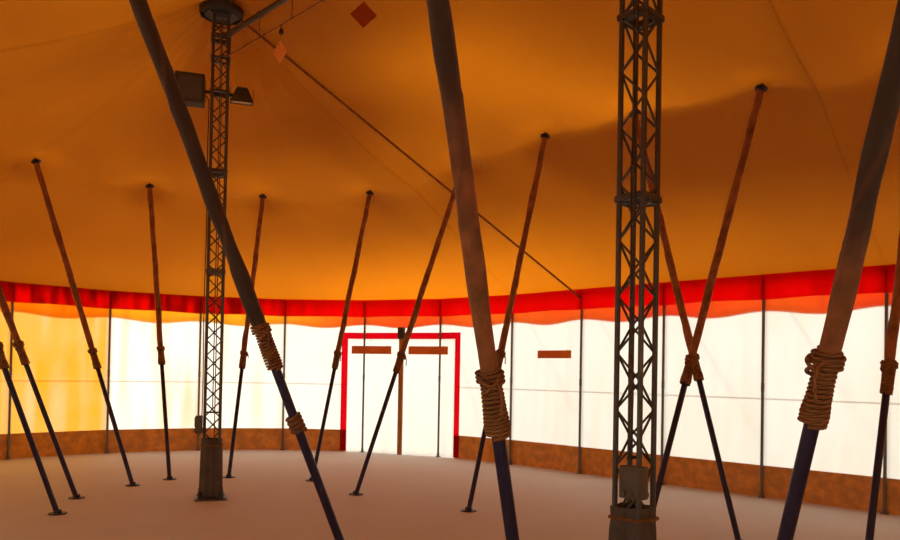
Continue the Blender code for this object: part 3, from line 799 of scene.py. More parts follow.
def combine(name, parts, angle=40):
    """Joins parts into one named object, smooth but for its sharp edges."""
    deselect()
    for part in parts:
        part.select_set(True)
    bpy.context.view_layer.objects.active = parts[0]
    if len(parts) > 1:
        bpy.ops.object.join()
    made = only(parts[0])
    bpy.ops.object.shade_smooth_by_angle(angle=radians(angle))
    made.name = made.data.name = name
    return made


def dress(obj, material, replaces=()):
    """Gives a finished piece its finish, its body and what it stands for."""
    obj.data.materials.clear()
    obj.data.materials.append(finish(material))
    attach(obj, "root")
    if replaces:
        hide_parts(*replaces)


def piece(name, parts, material, replaces=(), angle=40, moved=None):
    """Joins parts into a dressed piece, moved by a matrix if there is one."""
    made = combine(name, parts, angle)
    if moved:
        made.data.transform(moved)
    dress(made, material, replaces)


def cloth(name, wide, deep, spot, thickness, skip=lambda c, r: False, offset=1.0, closed=False):
    """A grid of cloth with its thickness; spot gives a point, its place on the cut and its marks."""
    points, flats, marks = [], [], []
    for c in range(wide):
        for r in range(deep):
            point, flat, mark = spot(c, r)
            points.append(point)
            flats.append(flat)
            marks.append(mark)
    faces = []
    for c in range(wide if closed else wide - 1):
        n = (c + 1) % wide
        for r in range(deep - 1):
            if skip(c, r):
                continue
            faces.append((c * deep + r, c * deep + r + 1, n * deep + r + 1, n * deep + r))
    mesh = bpy.data.meshes.new(name)
    mesh.from_pydata(points, [], faces)
    for layer, values in (("cloth", flats), ("marks", marks)):
        uv = mesh.uv_layers.new(name=layer)
        for loop in mesh.loops:
            uv.data[loop.index].uv = values[loop.vertex_index]
    made = link(name, mesh)
    edit(made, "verts", lambda v: not v.link_faces, lambda: bpy.ops.mesh.delete(type="VERT"))
    area = sum(p.area for p in made.data.polygons)
    count = len(made.data.polygons)
    only(made)
    shell = made.modifiers.new("solidify", "SOLIDIFY")
    shell.thickness, shell.offset, shell.use_rim = thickness, offset, True
    bpy.ops.object.modifier_apply(modifier=shell.name)
    side = made.data.uv_layers.new(name="side", do_init=False)
    for face in made.data.polygons[count:2 * count]:
        for loop in face.loop_indices:
            side.data[loop].uv = (1.0, 0.0)
    only(made)
    bpy.ops.object.shade_smooth_by_angle(angle=radians(55))
    return made, area


def swept(name, path, radius, sides, taper=None):
    """A round cord along a path, its ends closed; its map runs round it and along it in metres."""
    points = [Vector(p) for p in path]
    count = len(points)
    ways = [(points[min(k + 1, count - 1)] - points[max(k - 1, 0)]).normalized() for k in range(count)]
    side = ways[0].orthogonal().normalized()
    places, length, lengths = [], 0.0, []
    for k, (point, way) in enumerate(zip(points, ways)):
        side = (side - way * side.dot(way)).normalized()
        other = way.cross(side)
        wide = radius * (taper(k / (count - 1)) if taper else 1.0)
        if k:
            length += (point - points[k - 1]).length
        lengths.append(length)
        for m in range(sides):
            turn = tau * m / sides
            places.append(point + side * wide * cos(turn) + other * wide * sin(turn))
    faces, flats = [], []
    for k in range(count - 1):
        for m in range(sides):
            n = (m + 1) % sides
            faces.append((k * sides + m, k * sides + n, (k + 1) * sides + n, (k + 1) * sides + m))
            for turn, step in ((m, k), (m + 1, k), (m + 1, k + 1), (m, k + 1)):
                flats.append((turn / sides, lengths[step]))
    for ring, at in ((range(sides - 1, -1, -1), 0), (range(sides), count - 1)):
        faces.append(tuple(at * sides + m for m in ring))
        flats.extend((m / sides, lengths[at]) for m in ring)
    mesh = bpy.data.meshes.new(name)
    mesh.from_pydata(places, [], faces)
    uv = mesh.uv_layers.new(name="cloth")
    for loop, flat in zip(mesh.loops, flats):
        uv.data[loop.index].uv = flat
    return link(name, mesh)


def hoop(centre, one, two, radius, steps, last=None, climb=0.0):
    """Points round centre, from the direction one towards two; climb lifts each by so much."""
    turns = (tau * k / steps for k in range((last or steps) + 1))
    return [
        centre + one * radius * cos(turn) + two * radius * sin(turn) + up(climb * k) for k, turn in enumerate(turns)
    ]


def segment(start, end, steps):
    start, end = Vector(start), Vector(end)
    return [start.lerp(end, k / steps) for k in range(steps + 1)]


# Canopy

SECTIONS = (
    ("north", 0, 4), ("northwest", 4, 8), ("west", 8, 11), ("southwest", 11, 15),
    ("south", 15, 19), ("southeast", 19, 23), ("east", 23, 26), ("northeast", 26, 30),
)
ROOF_ROWS = 72
BAND_ROWS = 9


def canopy_columns(low, high):
    """Stations across a section, with close columns at each seam: (station, shift, seam mark)."""
    half = sizes().seam_width / 2
    columns = []
    step = 7
    for k in range((high - low) * 2 + 1):
        seam = low + k / 2
        shifts = [(-half - 0.008, 0.0), (-half, 1.0), (half, 1.0), (half + 0.008, 0.0)]
        if k == 0:
            shifts = [(0.0, 1.0), *shifts[2:]]
        elif seam == high:
            shifts = [*shifts[:2], (0.0, 1.0)]
        columns += [(seam, shift, mark) for shift, mark in shifts]
        if seam < high:
            columns += [(seam + 0.5 * m / step, 0.0, 0.0) for m in range(1, step)]
    return columns


def lobe(value, middle, width, power=2):
    """1 at the middle, falling to nothing some way past the width."""
    return exp(-(abs(value - middle) / width) ** power)


def from_north(station):
    """The station counted both ways from the straight north wall's east end."""
    return (station + STATIONS / 2) % STATIONS - STATIONS / 2


def canopy_glow(station, distance):
    """The brightness of the roof from below, painted into the cloth: painted shade north of and below the pole heads,
    painted light above them and over the eave.
    """
    s = from_north(station)
    outer = ease(distance, RING_DISTANCE - 0.04, RING_DISTANCE + 0.12)
    glow = 0.37 - 0.1 * lobe(s, 0.4, 1.9) - 0.03 * outer
    glow -= 0.17 * lobe(s, 6.4, 3.6, 4) * (1 - ease(distance, 1.8, 3.0))
    glow -= 0.07 * (1 - ease(distance, 0.2, 1.2))
    glow += 0.26 * lobe(s, 1.7 + (3.0 - distance) * 0.55, 0.75) * ease(distance, 0.8, 1.8) * (1 - outer)
    glow -= 0.07 * lobe(s, 1.0, 2.2) * outer
    # Painted light over the eave, strongest on the north-west.
    glow += (0.62 * lobe(s, 4.8, 3.2) + 0.2 * lobe(s, 0.0, 2.0)) * ease(distance, 3.9, 5.9)
    spot = place(station, distance)
    # A painted highlight above each pole head and painted shade below it.
    side = min(1.0, max(-1.0, (RING_DISTANCE - distance) / 0.25))
    for head in HEADS:
        reach = (spot - head).length
        if reach < 1.2:
            glow += 0.16 * side * exp(-(reach / 0.34) ** 2)
    return glow * (1 + 0.08 * wander(station * 0.8, distance * 0.9, 5.0))


def roof_painted_shade(station, distance):
    """How much painted shade the roof cloth takes: the share of its dim colour that paints the roof's shade and light.
    """
    light = 1.1 + 0.28 * lobe(from_north(station), 11.5, 4.0)
    glow = (canopy_glow(station, distance) - 0.12) * 1.17
    return min(1.0, max(0.0, (1.0 - glow / light) / 0.9))


def make_canopy():
    """Eight laced sections, each one sheet from the crown over the eave to its scalloped band."""
    for name, low, high in SECTIONS:
        columns = canopy_columns(low, high)
        deep = ROOF_ROWS + BAND_ROWS + 1

        def spot(c, r):
            base, shift, mark = columns[c]
            first = inner_edge(base)
            if r <= ROOF_ROWS:
                distance = first + (BAND_IN - first) * r / ROOF_ROWS
            else:
                distance = BAND_IN
            bay = bay_length(low + 0.5, max(distance, 0.3))
            station = min(max(base + shift / bay * min(1.0, bay / 0.4), low), high)
            # The tone carries the roof's painted light and shade into the marks map.
            tone = roof_painted_shade(station, distance)
            mark *= 0.2 + 0.8 * ease(distance, 1.4, 3.2)
            if r <= ROOF_ROWS:
                point = canopy_spot(station, distance)
                if r == ROOF_ROWS:
                    point.z = EAVE_HEIGHT + 0.002
                point.z -= 0.0012 * mark
                patch = 1.0 if distance < 0.62 else 0.0
                return point, (station, distance), (max(mark, patch * 0.8), tone)
            down = (r - ROOF_ROWS) / BAND_ROWS
            depth = BAND_DEPTH - SCALLOP * (0.5 + 0.5 * cos(tau * station))
            sway = 0.0015 * sin(station * 19.0) * down
            point = chord_point(station, distance + max(0.0, sway), EAVE_HEIGHT - down * depth)
            edge = 1.0 if r >= deep - 2 else mark
            scarlet = 1 - ease(abs(from_north(station) - 2.5), 3.6, 5.0)
            return point, (station, distance + down * depth), (edge, 0.12 + 0.78 * scarlet)

        made, area = cloth(f"canopy_{name}", len(columns), deep, spot, sizes().cloth_thickness)
        dress(made, "canopy_cloth", [f"canopy_{name}"])
        made.data.materials.append(finish("band_cloth"))
        for face in made.data.polygons:
            if face.center.z < EAVE_HEIGHT and abs(face.normal.z) < 0.5:
                face.material_index = 1
        wide = bay_length(low + 0.5) * (high - low) + 0.1


# Inner band


def make_valances():
    """The red band that hangs inside the side poles, with soft pleats and a hem."""
    for name, low, high in GROUPS:
        per_bay, deep = 28, 13
        wide = (high - low) * per_bay + 1
        rng = random.Random(name)
        pleats = [rng.uniform(0.35, 1.0) for _ in range(high - low + 2)]

        def spot(c, r):
            station = low + c / per_bay
            down = r / (deep - 1)
            part = station % 1
            depth = pleats[int(station - low)]
            free = sin(pi * part) ** 0.5 if 0 < part < 1 else 0.0
            wave = 0.5 + 0.5 * sin(tau * (part * 5 + depth * 2)) * cos(part * 9 * depth)
            slack = wander(station * 2.7, 1.7, low)
            swing = sizes().pleat_depth * down ** 0.8 * free * (depth * wave + 0.4 + 0.5 * slack)
            line = chord_point(station, VALANCE_DISTANCE - max(0.0, swing), 0)
            at_pole, here = (canopy_height(at, VALANCE_DISTANCE) for at in (round(station), station))
            top = at_pole - 0.009 + (here - at_pole) * 0.5
            line.z = top - down * (VALANCE_DEPTH - 0.012 * (0.5 - 0.5 * cos(tau * part)) - 0.01 * slack)
            hem = 1.0 if r in (0, 1, deep - 2, deep - 1) or part < 0.02 else 0.0
            # Painted shade: darker stripes along the pleats, and a deeper red away from the north and north-west
            # stretches.
            streak = wander(station * 13.0, down * 0.8, low) + 0.5 * wander(station * 31.0, 0.0, low)
            s = from_north(station)
            shaded_red = ease(s, 6.0, 8.0) + 0.6 * (1 - ease(s, -1.5, 0.8))
            tone = 0.06 + 0.5 * shaded_red + (0.35 + 0.9 * shaded_red) * streak
            return line, (station * CLOTH_SCALE, down * VALANCE_DEPTH), (hem * 0.6, min(1.0, max(0.0, tone)))

        made, _ = cloth(f"valance_{name}", wide, deep, spot, SHEET_THICKNESS)
        dress(made, "red_cloth", [f"valance_{name}"])
        length = bay_length(low + 0.5) * (high - low)


# Walls


def wall_tone(station, height):
    """How much painted shade a wall panel takes, 0 the palest, 1 the deepest: whole panels in painted shade, and
    stripes of painted sunlight and fold shade.
    """
    shaded_panels = 0.0
    for low, high in ((8.97, 13.97), (23.97, 28.97)):
        shaded_panels += ease(station, low, low + 0.06) * (1 - ease(station, high, high + 0.06))
    sun_and_fold_streaks = max(0.0, wander(station * 9.0, height * 0.5, 4.0)) * 1.1
    reach = ease(station, 6.5, 8.6) * (1 - ease(station, 14.0, 16.0)) * 0.8 + 0.12
    return min(1.0, max(0.0, shaded_panels * (1 - 0.35 * sun_and_fold_streaks) + sun_and_fold_streaks * reach * (1 - shaded_panels)))


WALL_TOP = 3.134
WALL_PARTS = (
    ("north", 0, WEST), ("northwest", WEST, WEST + 3), ("west", WEST + 3, WEST + 7),
    ("southwest", WEST + 7, SOUTH), ("south", SOUTH, EAST), ("southeast", EAST, EAST + 3),
    ("east", EAST + 3, EAST + 7), ("northeast", EAST + 7, STATIONS),
)
WALL_HEIGHTS = [
    WALL_TOP, 3.05, 2.9, 2.75, 2.6, 2.5, 2.42, DOOR_HEIGHT + 0.03, DOOR_HEIGHT, 2.28, 2.18, 2.06, 1.94,
    1.82, 1.7, 1.58, 1.48, 1.412, 1.408, 1.392, 1.388, 1.3, 1.18, 1.06, 0.94, 0.82, 0.7, 0.58, 0.48,
    0.452, 0.448, 0.43, 0.34, 0.24, 0.14, 0.06, 0.03, 0.0,
]


def wall_fold(station, height, doors=()):
    """How far the cloth stands outwards: slack folds between the poles, flat under the band."""
    part = station % 1
    free = sin(pi * part) ** 0.6 if 0 < part < 1 else 0.0
    under = 1 - ease(height, 2.0, 2.46)
    for door in doors:
        under *= ease(abs(station - door), 0, 0.16)
    billow = 0.55 + 0.45 * wander(station * 0.9, height * 0.5, 7.7)
    folds = 0.5 + 0.5 * sin(tau * (part * 6.0 + 0.8 * wander(station, height * 1.1, 0.4)))
    fine = 0.5 + 0.5 * wander(station * 14.0, height * 2.4, 2.0)
    return sizes().fold_depth * under * free * (0.5 * billow + 0.3 * folds * (0.4 + 0.6 * height / 2.5) + 0.2 * fine)


def make_walls():
    """Eight curtains with slack folds, a level seam, a brown skirt, and two ways out."""
    for name, low, high in WALL_PARTS:
        doors = ()
        if low in (WEST, EAST):
            doors = (low + 1.5 - DOOR_HALF_BAYS, low + 1.5 + DOOR_HALF_BAYS)
        per_bay = 22
        stations = sorted({*[low + k / per_bay for k in range((high - low) * per_bay + 1)], *doors})

        def spot(c, r):
            station, height = stations[c], WALL_HEIGHTS[r]
            swing = wall_fold(station, height, doors)
            point = chord_point(station, WALL_IN + 0.0004 + swing, height)
            lesser = 0.43 <= height < 0.45 or height < 0.05 or height > 3.04 or not 0.02 <= station % 1 <= 0.98
            seam = 1.0 if 1.39 < height < 1.41 else 0.7 * lesser
            return point, (station * CLOTH_SCALE, height), (seam, wall_tone(station, height))

        def skip(c, r):
            return bool(doors) and doors[0] <= stations[c] < doors[1] and WALL_HEIGHTS[r + 1] < DOOR_HEIGHT - 0.001

        made, _ = cloth(f"wall_{name}", len(stations), len(WALL_HEIGHTS), spot, SHEET_THICKNESS, skip)
        dress(made, "wall_cloth", [f"wall_{name}"])
        width = bay_length(low + 0.5) * (high - low)
        cut = width * WALL_TOP
        if doors:
            cut -= 2 * DOOR_HALF_BAYS * bay_length(low + 0.5) * DOOR_HEIGHT


# Exits

# How far down the leaves of a way out reach
LEAF_HEIGHT = DOOR_HEIGHT - 0.017

# A board's width, height, height above the ground and distance in from the wall
EXIT_BOARD = (0.88, 0.165, 2.13, 0.022)
NORTH_BOARD = (0.74, 0.14, 2.05, 0.012)

# Where the boards hang: beside the middle of a way out, in metres, and on the north wall
BOARD_SHIFTS = (("a", -0.60), ("b", 0.68))
NORTH_BOARD_STATION = 3.38

# The tied leaves' top, the height of their tie, and how far they are drawn together at which height
TIED_TOP = 2.455
TIE_HEIGHT = 1.16
GATHERS = ((0.015, 1.0), (0.71, 0.8), (TIE_HEIGHT, 0.45), (1.51, 0.65), (2.12, 0.9), (2.46, 0.6))


def gather(height):
    """The share of their full width that the tied leaves have at a height."""
    for (low, wide), (high, narrow) in zip(GATHERS, GATHERS[1:]):
        if height <= high:
            return wide + (narrow - wide) * ease(height, low, high)
    return GATHERS[-1][1]


def make_exit_border(name, middle):
    """The red cloth border round a way out, sewn to the wall on its room side."""
    first, last = middle - DOOR_HALF_BAYS, middle + DOOR_HALF_BAYS
    width = FRAME_WIDTH / bay_length(middle)
    stations = sorted({
        *[first - width + width * k / 4 for k in range(5)], *[last + width * k / 4 for k in range(5)],
        *[first + (last - first) * k / 40 for k in range(1, 40)], ceil(first), floor(last),
    })
    head = {DOOR_HEIGHT + FRAME_WIDTH * k / 4 for k in range(5)}
    heights = sorted(head | {0.02 + (DOOR_HEIGHT - 0.02) * k / 24 for k in range(25)}, reverse=True)

    def spot(c, r):
        station, height = stations[c], heights[r]
        pucker = 0.0025 * wander(station * 9.0, height * 6.0, 3.0)
        point = chord_point(station, BORDER_DISTANCE - max(0.0, pucker), height)
        beside = station <= first - width * 0.76 or station >= last + width * 0.76
        edge = beside or height >= DOOR_HEIGHT + FRAME_WIDTH * 0.76
        return point, (station * CLOTH_SCALE, height), (0.6 if edge else 0.0, 0.4)

    def skip(c, r):
        return first <= stations[c] < last and heights[r + 1] < DOOR_HEIGHT - 0.001

    made, _ = cloth(f"exit_border_{name}", len(stations), len(heights), spot, SHEET_THICKNESS, skip)
    dress(made, "red_cloth", [f"exit_border_{name}"])
    length = 2 * DOOR_HEIGHT + (last - first) * bay_length(middle) + 2 * FRAME_WIDTH


def make_closed_leaves(name, middle):
    """Two leaves of cloth that hang behind the post and meet there."""
    first, last = middle - DOOR_HALF_BAYS, middle + DOOR_HALF_BAYS
    meet = 0.006 / bay_length(middle)
    for side, low, high in (("right", first + 0.002, middle - meet), ("left", middle + meet, last - 0.002)):
        wide, deep = 34, 34

        def spot(c, r):
            across = c / (wide - 1)
            station = low + (high - low) * across
            height = DOOR_HEIGHT - 0.002 - LEAF_HEIGHT * r / (deep - 1)
            free = sin(pi * across) ** 0.7 if 0 < c < wide - 1 else 0.0
            drop = r / (deep - 1)
            folds = 0.5 + 0.5 * sin(tau * (across * 4 + 0.5 * wander(across * 2, drop * 2, low)))
            swing = 0.035 * free * (0.25 + 0.75 * drop) * (0.4 + 0.6 * folds)
            point = chord_point(station, WALL_IN + 0.0006 + swing, height)
            hem = 0.6 if c in (0, wide - 1) or r in (0, deep - 1) else 0.0
            return point, (station * CLOTH_SCALE, height), (hem, 0.04)

        made, _ = cloth(f"exit_flap_{name}_{side}", wide, deep, spot, SHEET_THICKNESS)
        dress(made, "flap_cloth", [f"exit_flap_{name}_{side}"])
        flat = ((high - low) * bay_length(middle), LEAF_HEIGHT)


def make_tied_leaves(name, middle):
    """Two leaves drawn aside, pleated together and tied at mid height."""
    for side, edge in (("right", middle - DOOR_HALF_BAYS), ("left", middle + DOOR_HALF_BAYS)):
        outer = -1 if side == "right" else 1
        station = edge + outer * FRAME_WIDTH / 2 / bay_length(middle)
        way = outward(floor(station) + 0.5)
        tangent = up(1).cross(way)
        rng = random.Random(side)
        turns = [rng.uniform(-0.5, 0.5) for _ in range(9)]
        wide, deep = 100, 44

        def spot(c, r):
            across = c / (wide - 1)
            height = TIED_TOP - (TIED_TOP - 0.015) * r / (deep - 1)
            radius = 0.1 * gather(height)
            centre = chord_point(station, BORDER_DISTANCE - 0.001, height) - way * radius * 0.99
            fold = across * 9.0
            angle = pi * (0.5 + (across - 0.5) * 1.86) + 0.25 * turns[int(min(fold, 8.9))]
            reach = radius * (0.66 + 0.27 * sin(tau * fold))
            point = centre + tangent * cos(angle) * reach - way * (sin(angle) * reach)
            return point, (across * 1.2, height), (0.5 if r in (0, deep - 1) else 0.0, 0.35)

        made, area = cloth(f"exit_flap_{name}_{side}", wide, deep, spot, 0.0016, offset=0.0)
        dress(made, "flap_cloth", [f"exit_flap_{name}_{side}"])
        radius = 0.1 * gather(TIE_HEIGHT) + 0.003
        centre = chord_point(station, BORDER_DISTANCE - 0.001, TIE_HEIGHT - 0.01) - way * (radius - 0.001)
        ring = hoop(centre, tangent, -way, radius, 24, 49, 0.009 / 24)
        tail = [ring[-1] + up(-0.004 * m * m) - way * 0.012 * sin(m * 0.5) for m in range(1, 7)]
        tie = swept(f"exit_tie_{name}_{side}", ring + tail, 0.0045, 8)
        only(tie)
        bpy.ops.object.shade_smooth_by_angle(angle=radians(50))
        dress(tie, "rope")


def board(name, station, wide, tall, height, inwards):
    """A bare board that hangs on the wall by two screw eyes."""
    half = wide / 2 / bay_length(station)
    low, high = (chord_point(station + side * half, WALL_IN - inwards, height) for side in (-1, 1))
    tangent = (high - low).normalized()
    middle = (low + high) / 2
    parts = [slab(middle, (0.012, wide, tall), 0.002, atan2(-tangent.x, tangent.y))]
    for side in (-1, 1):
        spot = middle + tangent * side * wide * 0.4 + up(tall / 2 + EYE_RADIUS - 0.001)
        parts.append(swept("eye", hoop(spot, tangent, up(1), EYE_RADIUS, 12), 0.002, 6))
    piece(name, parts, "board")


def make_exit_post(name, middle):
    """The narrow post in the middle of a way out, with a block bolted round its top."""
    low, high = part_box(f"exit_post_{name}")
    way = outward(floor(middle) + 0.5)
    turn = atan2(way.y, way.x)
    foot = Vector(((low[0] + high[0]) / 2, (low[1] + high[1]) / 2, low[2]))
    tall = high[2] - low[2]
    post = slab(foot + up(tall / 2), (0.056, 0.092, tall), 0.004, turn, 2)
    piece(f"exit_post_{name}", [post], "post_wood", [f"exit_post_{name}"])
    centre = foot + up(tall - 0.08) - way * 0.012
    parts = [slab(centre - up(0.04), (0.078, 0.14, 0.23), 0.006, turn, 2)]
    for side in (-0.05, 0.05):
        spot = centre + along(middle) * side
        parts.append(rod(spot - way * 0.038, spot - way * 0.046, 0.011, 6, 0.001))
    piece(f"exit_post_cap_{name}", parts, "dark_iron")


def make_exits():
    """The two ways out, the west one closed, with the boards beside them and on the north wall."""
    for name, middle in (("west", WEST_EXIT), ("east", EAST_EXIT)):
        make_exit_border(name, middle)
        make_exit_post(name, middle)
        for side, shift in BOARD_SHIFTS:
            board(f"exit_board_{name}_{side}", middle + shift / bay_length(middle), *EXIT_BOARD)
    make_closed_leaves("west", WEST_EXIT)
    make_tied_leaves("east", EAST_EXIT)
    board("wall_board_north", NORTH_BOARD_STATION, *NORTH_BOARD)


# Leaning poles

# Profiles are lists of (radius, height)
POLE_FOOT = [
    (0, 0), (FOOT_RADIUS - 0.003, 0), (FOOT_RADIUS, 0.003), (FOOT_RADIUS, 0.008),
    (FOOT_RADIUS - 0.006, FOOT_THICKNESS), (0.05, FOOT_THICKNESS + 0.001), (0.045, 0.03), (0.036, 0.05), (0, 0.05),
]
POLE_CAP = [
    (0, -0.09), (0.034, -0.09), (0.036, -0.074), (0.064, -0.064), (0.068, -0.058), (0.068, -0.05), (0.064, -0.046),
    (HEAD_RADIUS, -0.042), (0.044, -0.03), (0.03, -0.02), (0.024, -0.004), (0.02, 0.0), (0, 0.0),
]

# The side of the room from which the lashings are tied off
TIED_FROM = Vector((5.9, -4.7, 1.6))

# The sleeves that are painted darker, as shade, from which height up to which
SHADED_SLEEVES = {12: (1.3, 1.8), 13: (2.4, 2.9), 14: (1.95, 2.35)}

# The pole with the thicker sleeve and a roll of cloth on its tube, and those with a long loose tail
NEAR_POLE = 12
LONG_TAILS = (13, 14)

# The first turns lie on the tube from one end to the other, the second ones on them near the top
WINDINGS = ((0.0, 1.0), (0.78, 0.95))

# The crossing turns: turn and rise where each starts and ends, and how many ropes it stands out
CROSSINGS = ((-0.8, -0.05, 0.8, 0.02, 3.2), (0.75, -0.035, -0.75, 0.025, 4.4))


def pole_axis(number):
    """A pole's foot, its lean for each metre of height, its top and its lashing's height."""
    station, inward, sideways, lashed = INNER_POLES[number - 1]
    head = place(station, RING_DISTANCE)
    foot = head - outward(station) * inward + along(station) * sideways
    lean = (head - foot) / canopy_height(station, RING_DISTANCE)
    return foot, Vector((lean.x, lean.y, 1.0)), head_height(station), lashed


def square_to(way):
    """Two directions square to a way and to each other."""
    way = way.normalized()
    side = way.orthogonal().normalized()
    return side, way.cross(side)


def make_pole_tube(number):
    """A bare tube with a round foot plate and socket below, and a flanged cap above."""
    foot, lean, top, _ = pole_axis(number)
    name = f"inner_pole_{number:02d}"
    tube = rod(foot + lean * 0.03, foot + lean * (top - 0.05), TUBE_RADIUS, 20, 0.002)
    parts = [tube, turned(POLE_FOOT, 28, foot), turned(POLE_CAP, 24, foot + lean * top, lean)]
    piece(name, parts, "pole_steel", [name])


def make_pole_sleeve(number):
    """The canvas wound round the upper part, with spiral edges and slack wrinkles."""
    foot, lean, top, lashed = pole_axis(number)
    side, other = square_to(lean)
    low, high = lashed + LASHING_LENGTH - 0.03, top - HEAD_DEPTH + 0.005
    wide, deep = 26, 120
    rng = random.Random(number)
    phase, pitch = rng.uniform(0, 6.28), rng.uniform(0.75, 1.0)
    radius = sizes().sleeve_radius + (0.006 if number == NEAR_POLE else 0.0)
    shade_starts, dark = SHADED_SLEEVES.get(number, (9.0, 9.5))

    def spot(c, r):
        turn = tau * c / wide
        height = high - (high - low) * r / (deep - 1)
        spiral = max(0.0, cos(turn - tau * height / pitch + phase)) ** 3
        ruck = wander(cos(turn) * 1.6, sin(turn) * 1.6, height * 5.0 + number * 7.0)
        long_fold = cos(3 * turn + 2.0 * sin(height * 2.2 + number))
        lump = wander(height * 2.6, number * 3.0, 0.0)
        step = (turn / tau + height * SLEEVE_CLIMB) % 1.0
        reach = radius + 0.005 * spiral + 0.005 * ruck + 0.0025 * long_fold + 0.006 * lump + 0.005 * step
        reach = max(TUBE_RADIUS + 0.005, reach)
        ends = min(ease(height, low, low + 0.05), 1 - ease(height, high - 0.08, high))
        reach = TIGHT_SLEEVE + (reach - TIGHT_SLEEVE) * (0.35 + 0.65 * ends)
        point = foot + lean * height + side * reach * cos(turn) - other * reach * sin(turn)
        return point, (c / wide, height), (0.0, ease(height, shade_starts, dark))

    made, area = cloth(f"pole_sleeve_{number:02d}", wide, deep, spot, 0.0025, offset=-1.0, closed=True)
    dress(made, "sleeve_cloth")
    length = (high - low) * lean.length
    area / length


def make_pole_lashing(number):
    """The rope wound round the foot of the sleeve, with crossing turns and a loose tail."""
    foot, lean, _, lashed = pole_axis(number)
    side, other = square_to(lean)
    rope = sizes().rope_radius
    rng = random.Random(100 + number)
    toward = TIED_FROM - foot
    start = atan2(toward.dot(other), toward.dot(side)) + rng.uniform(-0.5, 0.5)
    parts = []

    def around(turn, height, reach):
        return foot + lean * height + side * reach * cos(turn) + other * reach * sin(turn)

    for layer, (first, last) in enumerate(WINDINGS):
        turns = LASHING_LENGTH * (last - first) / (2 * rope * 1.02)
        steps = int(turns * 16)
        path = []
        for k in range(steps + 1):
            share = first + (last - first) * k / steps
            turn = start + tau * turns * k / steps
            slack = 0.0022 * wander(turn * 0.5, number, layer * 5.0) + 0.003 * sin(share * 5 + number)
            tilt = 0.0035 * cos(turn - start) * sin(turns * k / steps * 0.7 + number)
            reach = TUBE_RADIUS + rope * (1 + 1.7 * layer) + 0.004 + 0.004 * exp(-((share - 0.15) / 0.15) ** 2) + slack
            path.append(around(turn, lashed + LASHING_LENGTH * share + tilt, reach))
        parts.append(swept("winding", path, rope, 8))
    high = lashed + LASHING_LENGTH * 0.83
    turn = start + rng.uniform(-0.6, 0.6)
    for turn_from, rise_from, turn_to, rise_to, lift in CROSSINGS:
        path = []
        for k in range(15):
            share = k / 14
            reach = TUBE_RADIUS + rope * (1.2 + lift * sqrt(max(0.0, sin(pi * share)))) + 0.004
            rise = rise_from + (rise_to - rise_from) * share
            path.append(around(turn + turn_from + (turn_to - turn_from) * share, high + rise, reach))
        parts.append(swept("crossing", path, rope, 8))
    root = around(turn + 0.45, high, TUBE_RADIUS + 3.6 * rope + 0.004)
    out = (root - (foot + lean * high)).normalized()
    drop = rng.uniform(0.07, 0.14)
    away = 0.05 if number in LONG_TAILS else 0.015
    tail = []
    for k in range(14):
        fall = 0.008 * sin(pi * k / 13) - drop * (k / 13) ** 1.3
        tail.append(root + out * away * sin(pi * min(1, k / 13 * 0.7)) + up(fall))
    parts.append(swept("tail", tail, rope * 0.8, 8, taper=lambda s: 1.0 if s < 0.93 else 1.35))
    piece(f"pole_lashing_{number:02d}", parts, "rope", angle=60)
    if number == NEAR_POLE:
        path = []
        for k in range(65):
            height = 1.29 + 0.11 * k / 64 + 0.006 * sin(k * 0.4)
            path.append(around(k * pi / 8, height, TUBE_RADIUS + 0.013 + 0.004 * sin(k * 0.37)))
        piece("pole_cuff_12", [swept("cuff", path, 0.0125, 8)], "sleeve_cloth", angle=60)


# Masts

MAST_BOLT = [
    (0, -0.024), (0.009, -0.024), (0.009, -0.016), (0.005, -0.015),
    (0.005, 0.015), (0.009, 0.016), (0.009, 0.024), (0, 0.024),
]
CORNERS = ((1, 1), (-1, 1), (-1, -1), (1, -1))

PLATE_HOLE = 0.14

# The foot cloths' length and the height of their upper edge
WRAP_HEIGHT = 0.73
WRAP_TOP = 0.78

# The bolts in the crown's rim, the radius of their circle, and half the width of the lamp's grille
CROWN_BOLTS = 12
BOLT_CIRCLE = 0.25
GRILLE_HALF = 0.155


def mast_top(name):
    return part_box(f"crown_{name}")[0][2]


def plate_with_hole(centre, width, thickness, turn):
    """A square plate with a square opening in its middle."""
    plate = add("cube", size=1.0)
    plate.data.transform(Matrix.Diagonal((width, width, thickness, 1.0)))
    edit(
        plate, "faces", lambda f: abs(f.normal.z) > 0.9,
        lambda: bpy.ops.mesh.inset(thickness=(width - PLATE_HOLE) / 2, use_individual=True),
        lambda: bpy.ops.mesh.bridge_edge_loops(),
    )
    plate.data.transform(standing(centre, turn))
    return plate


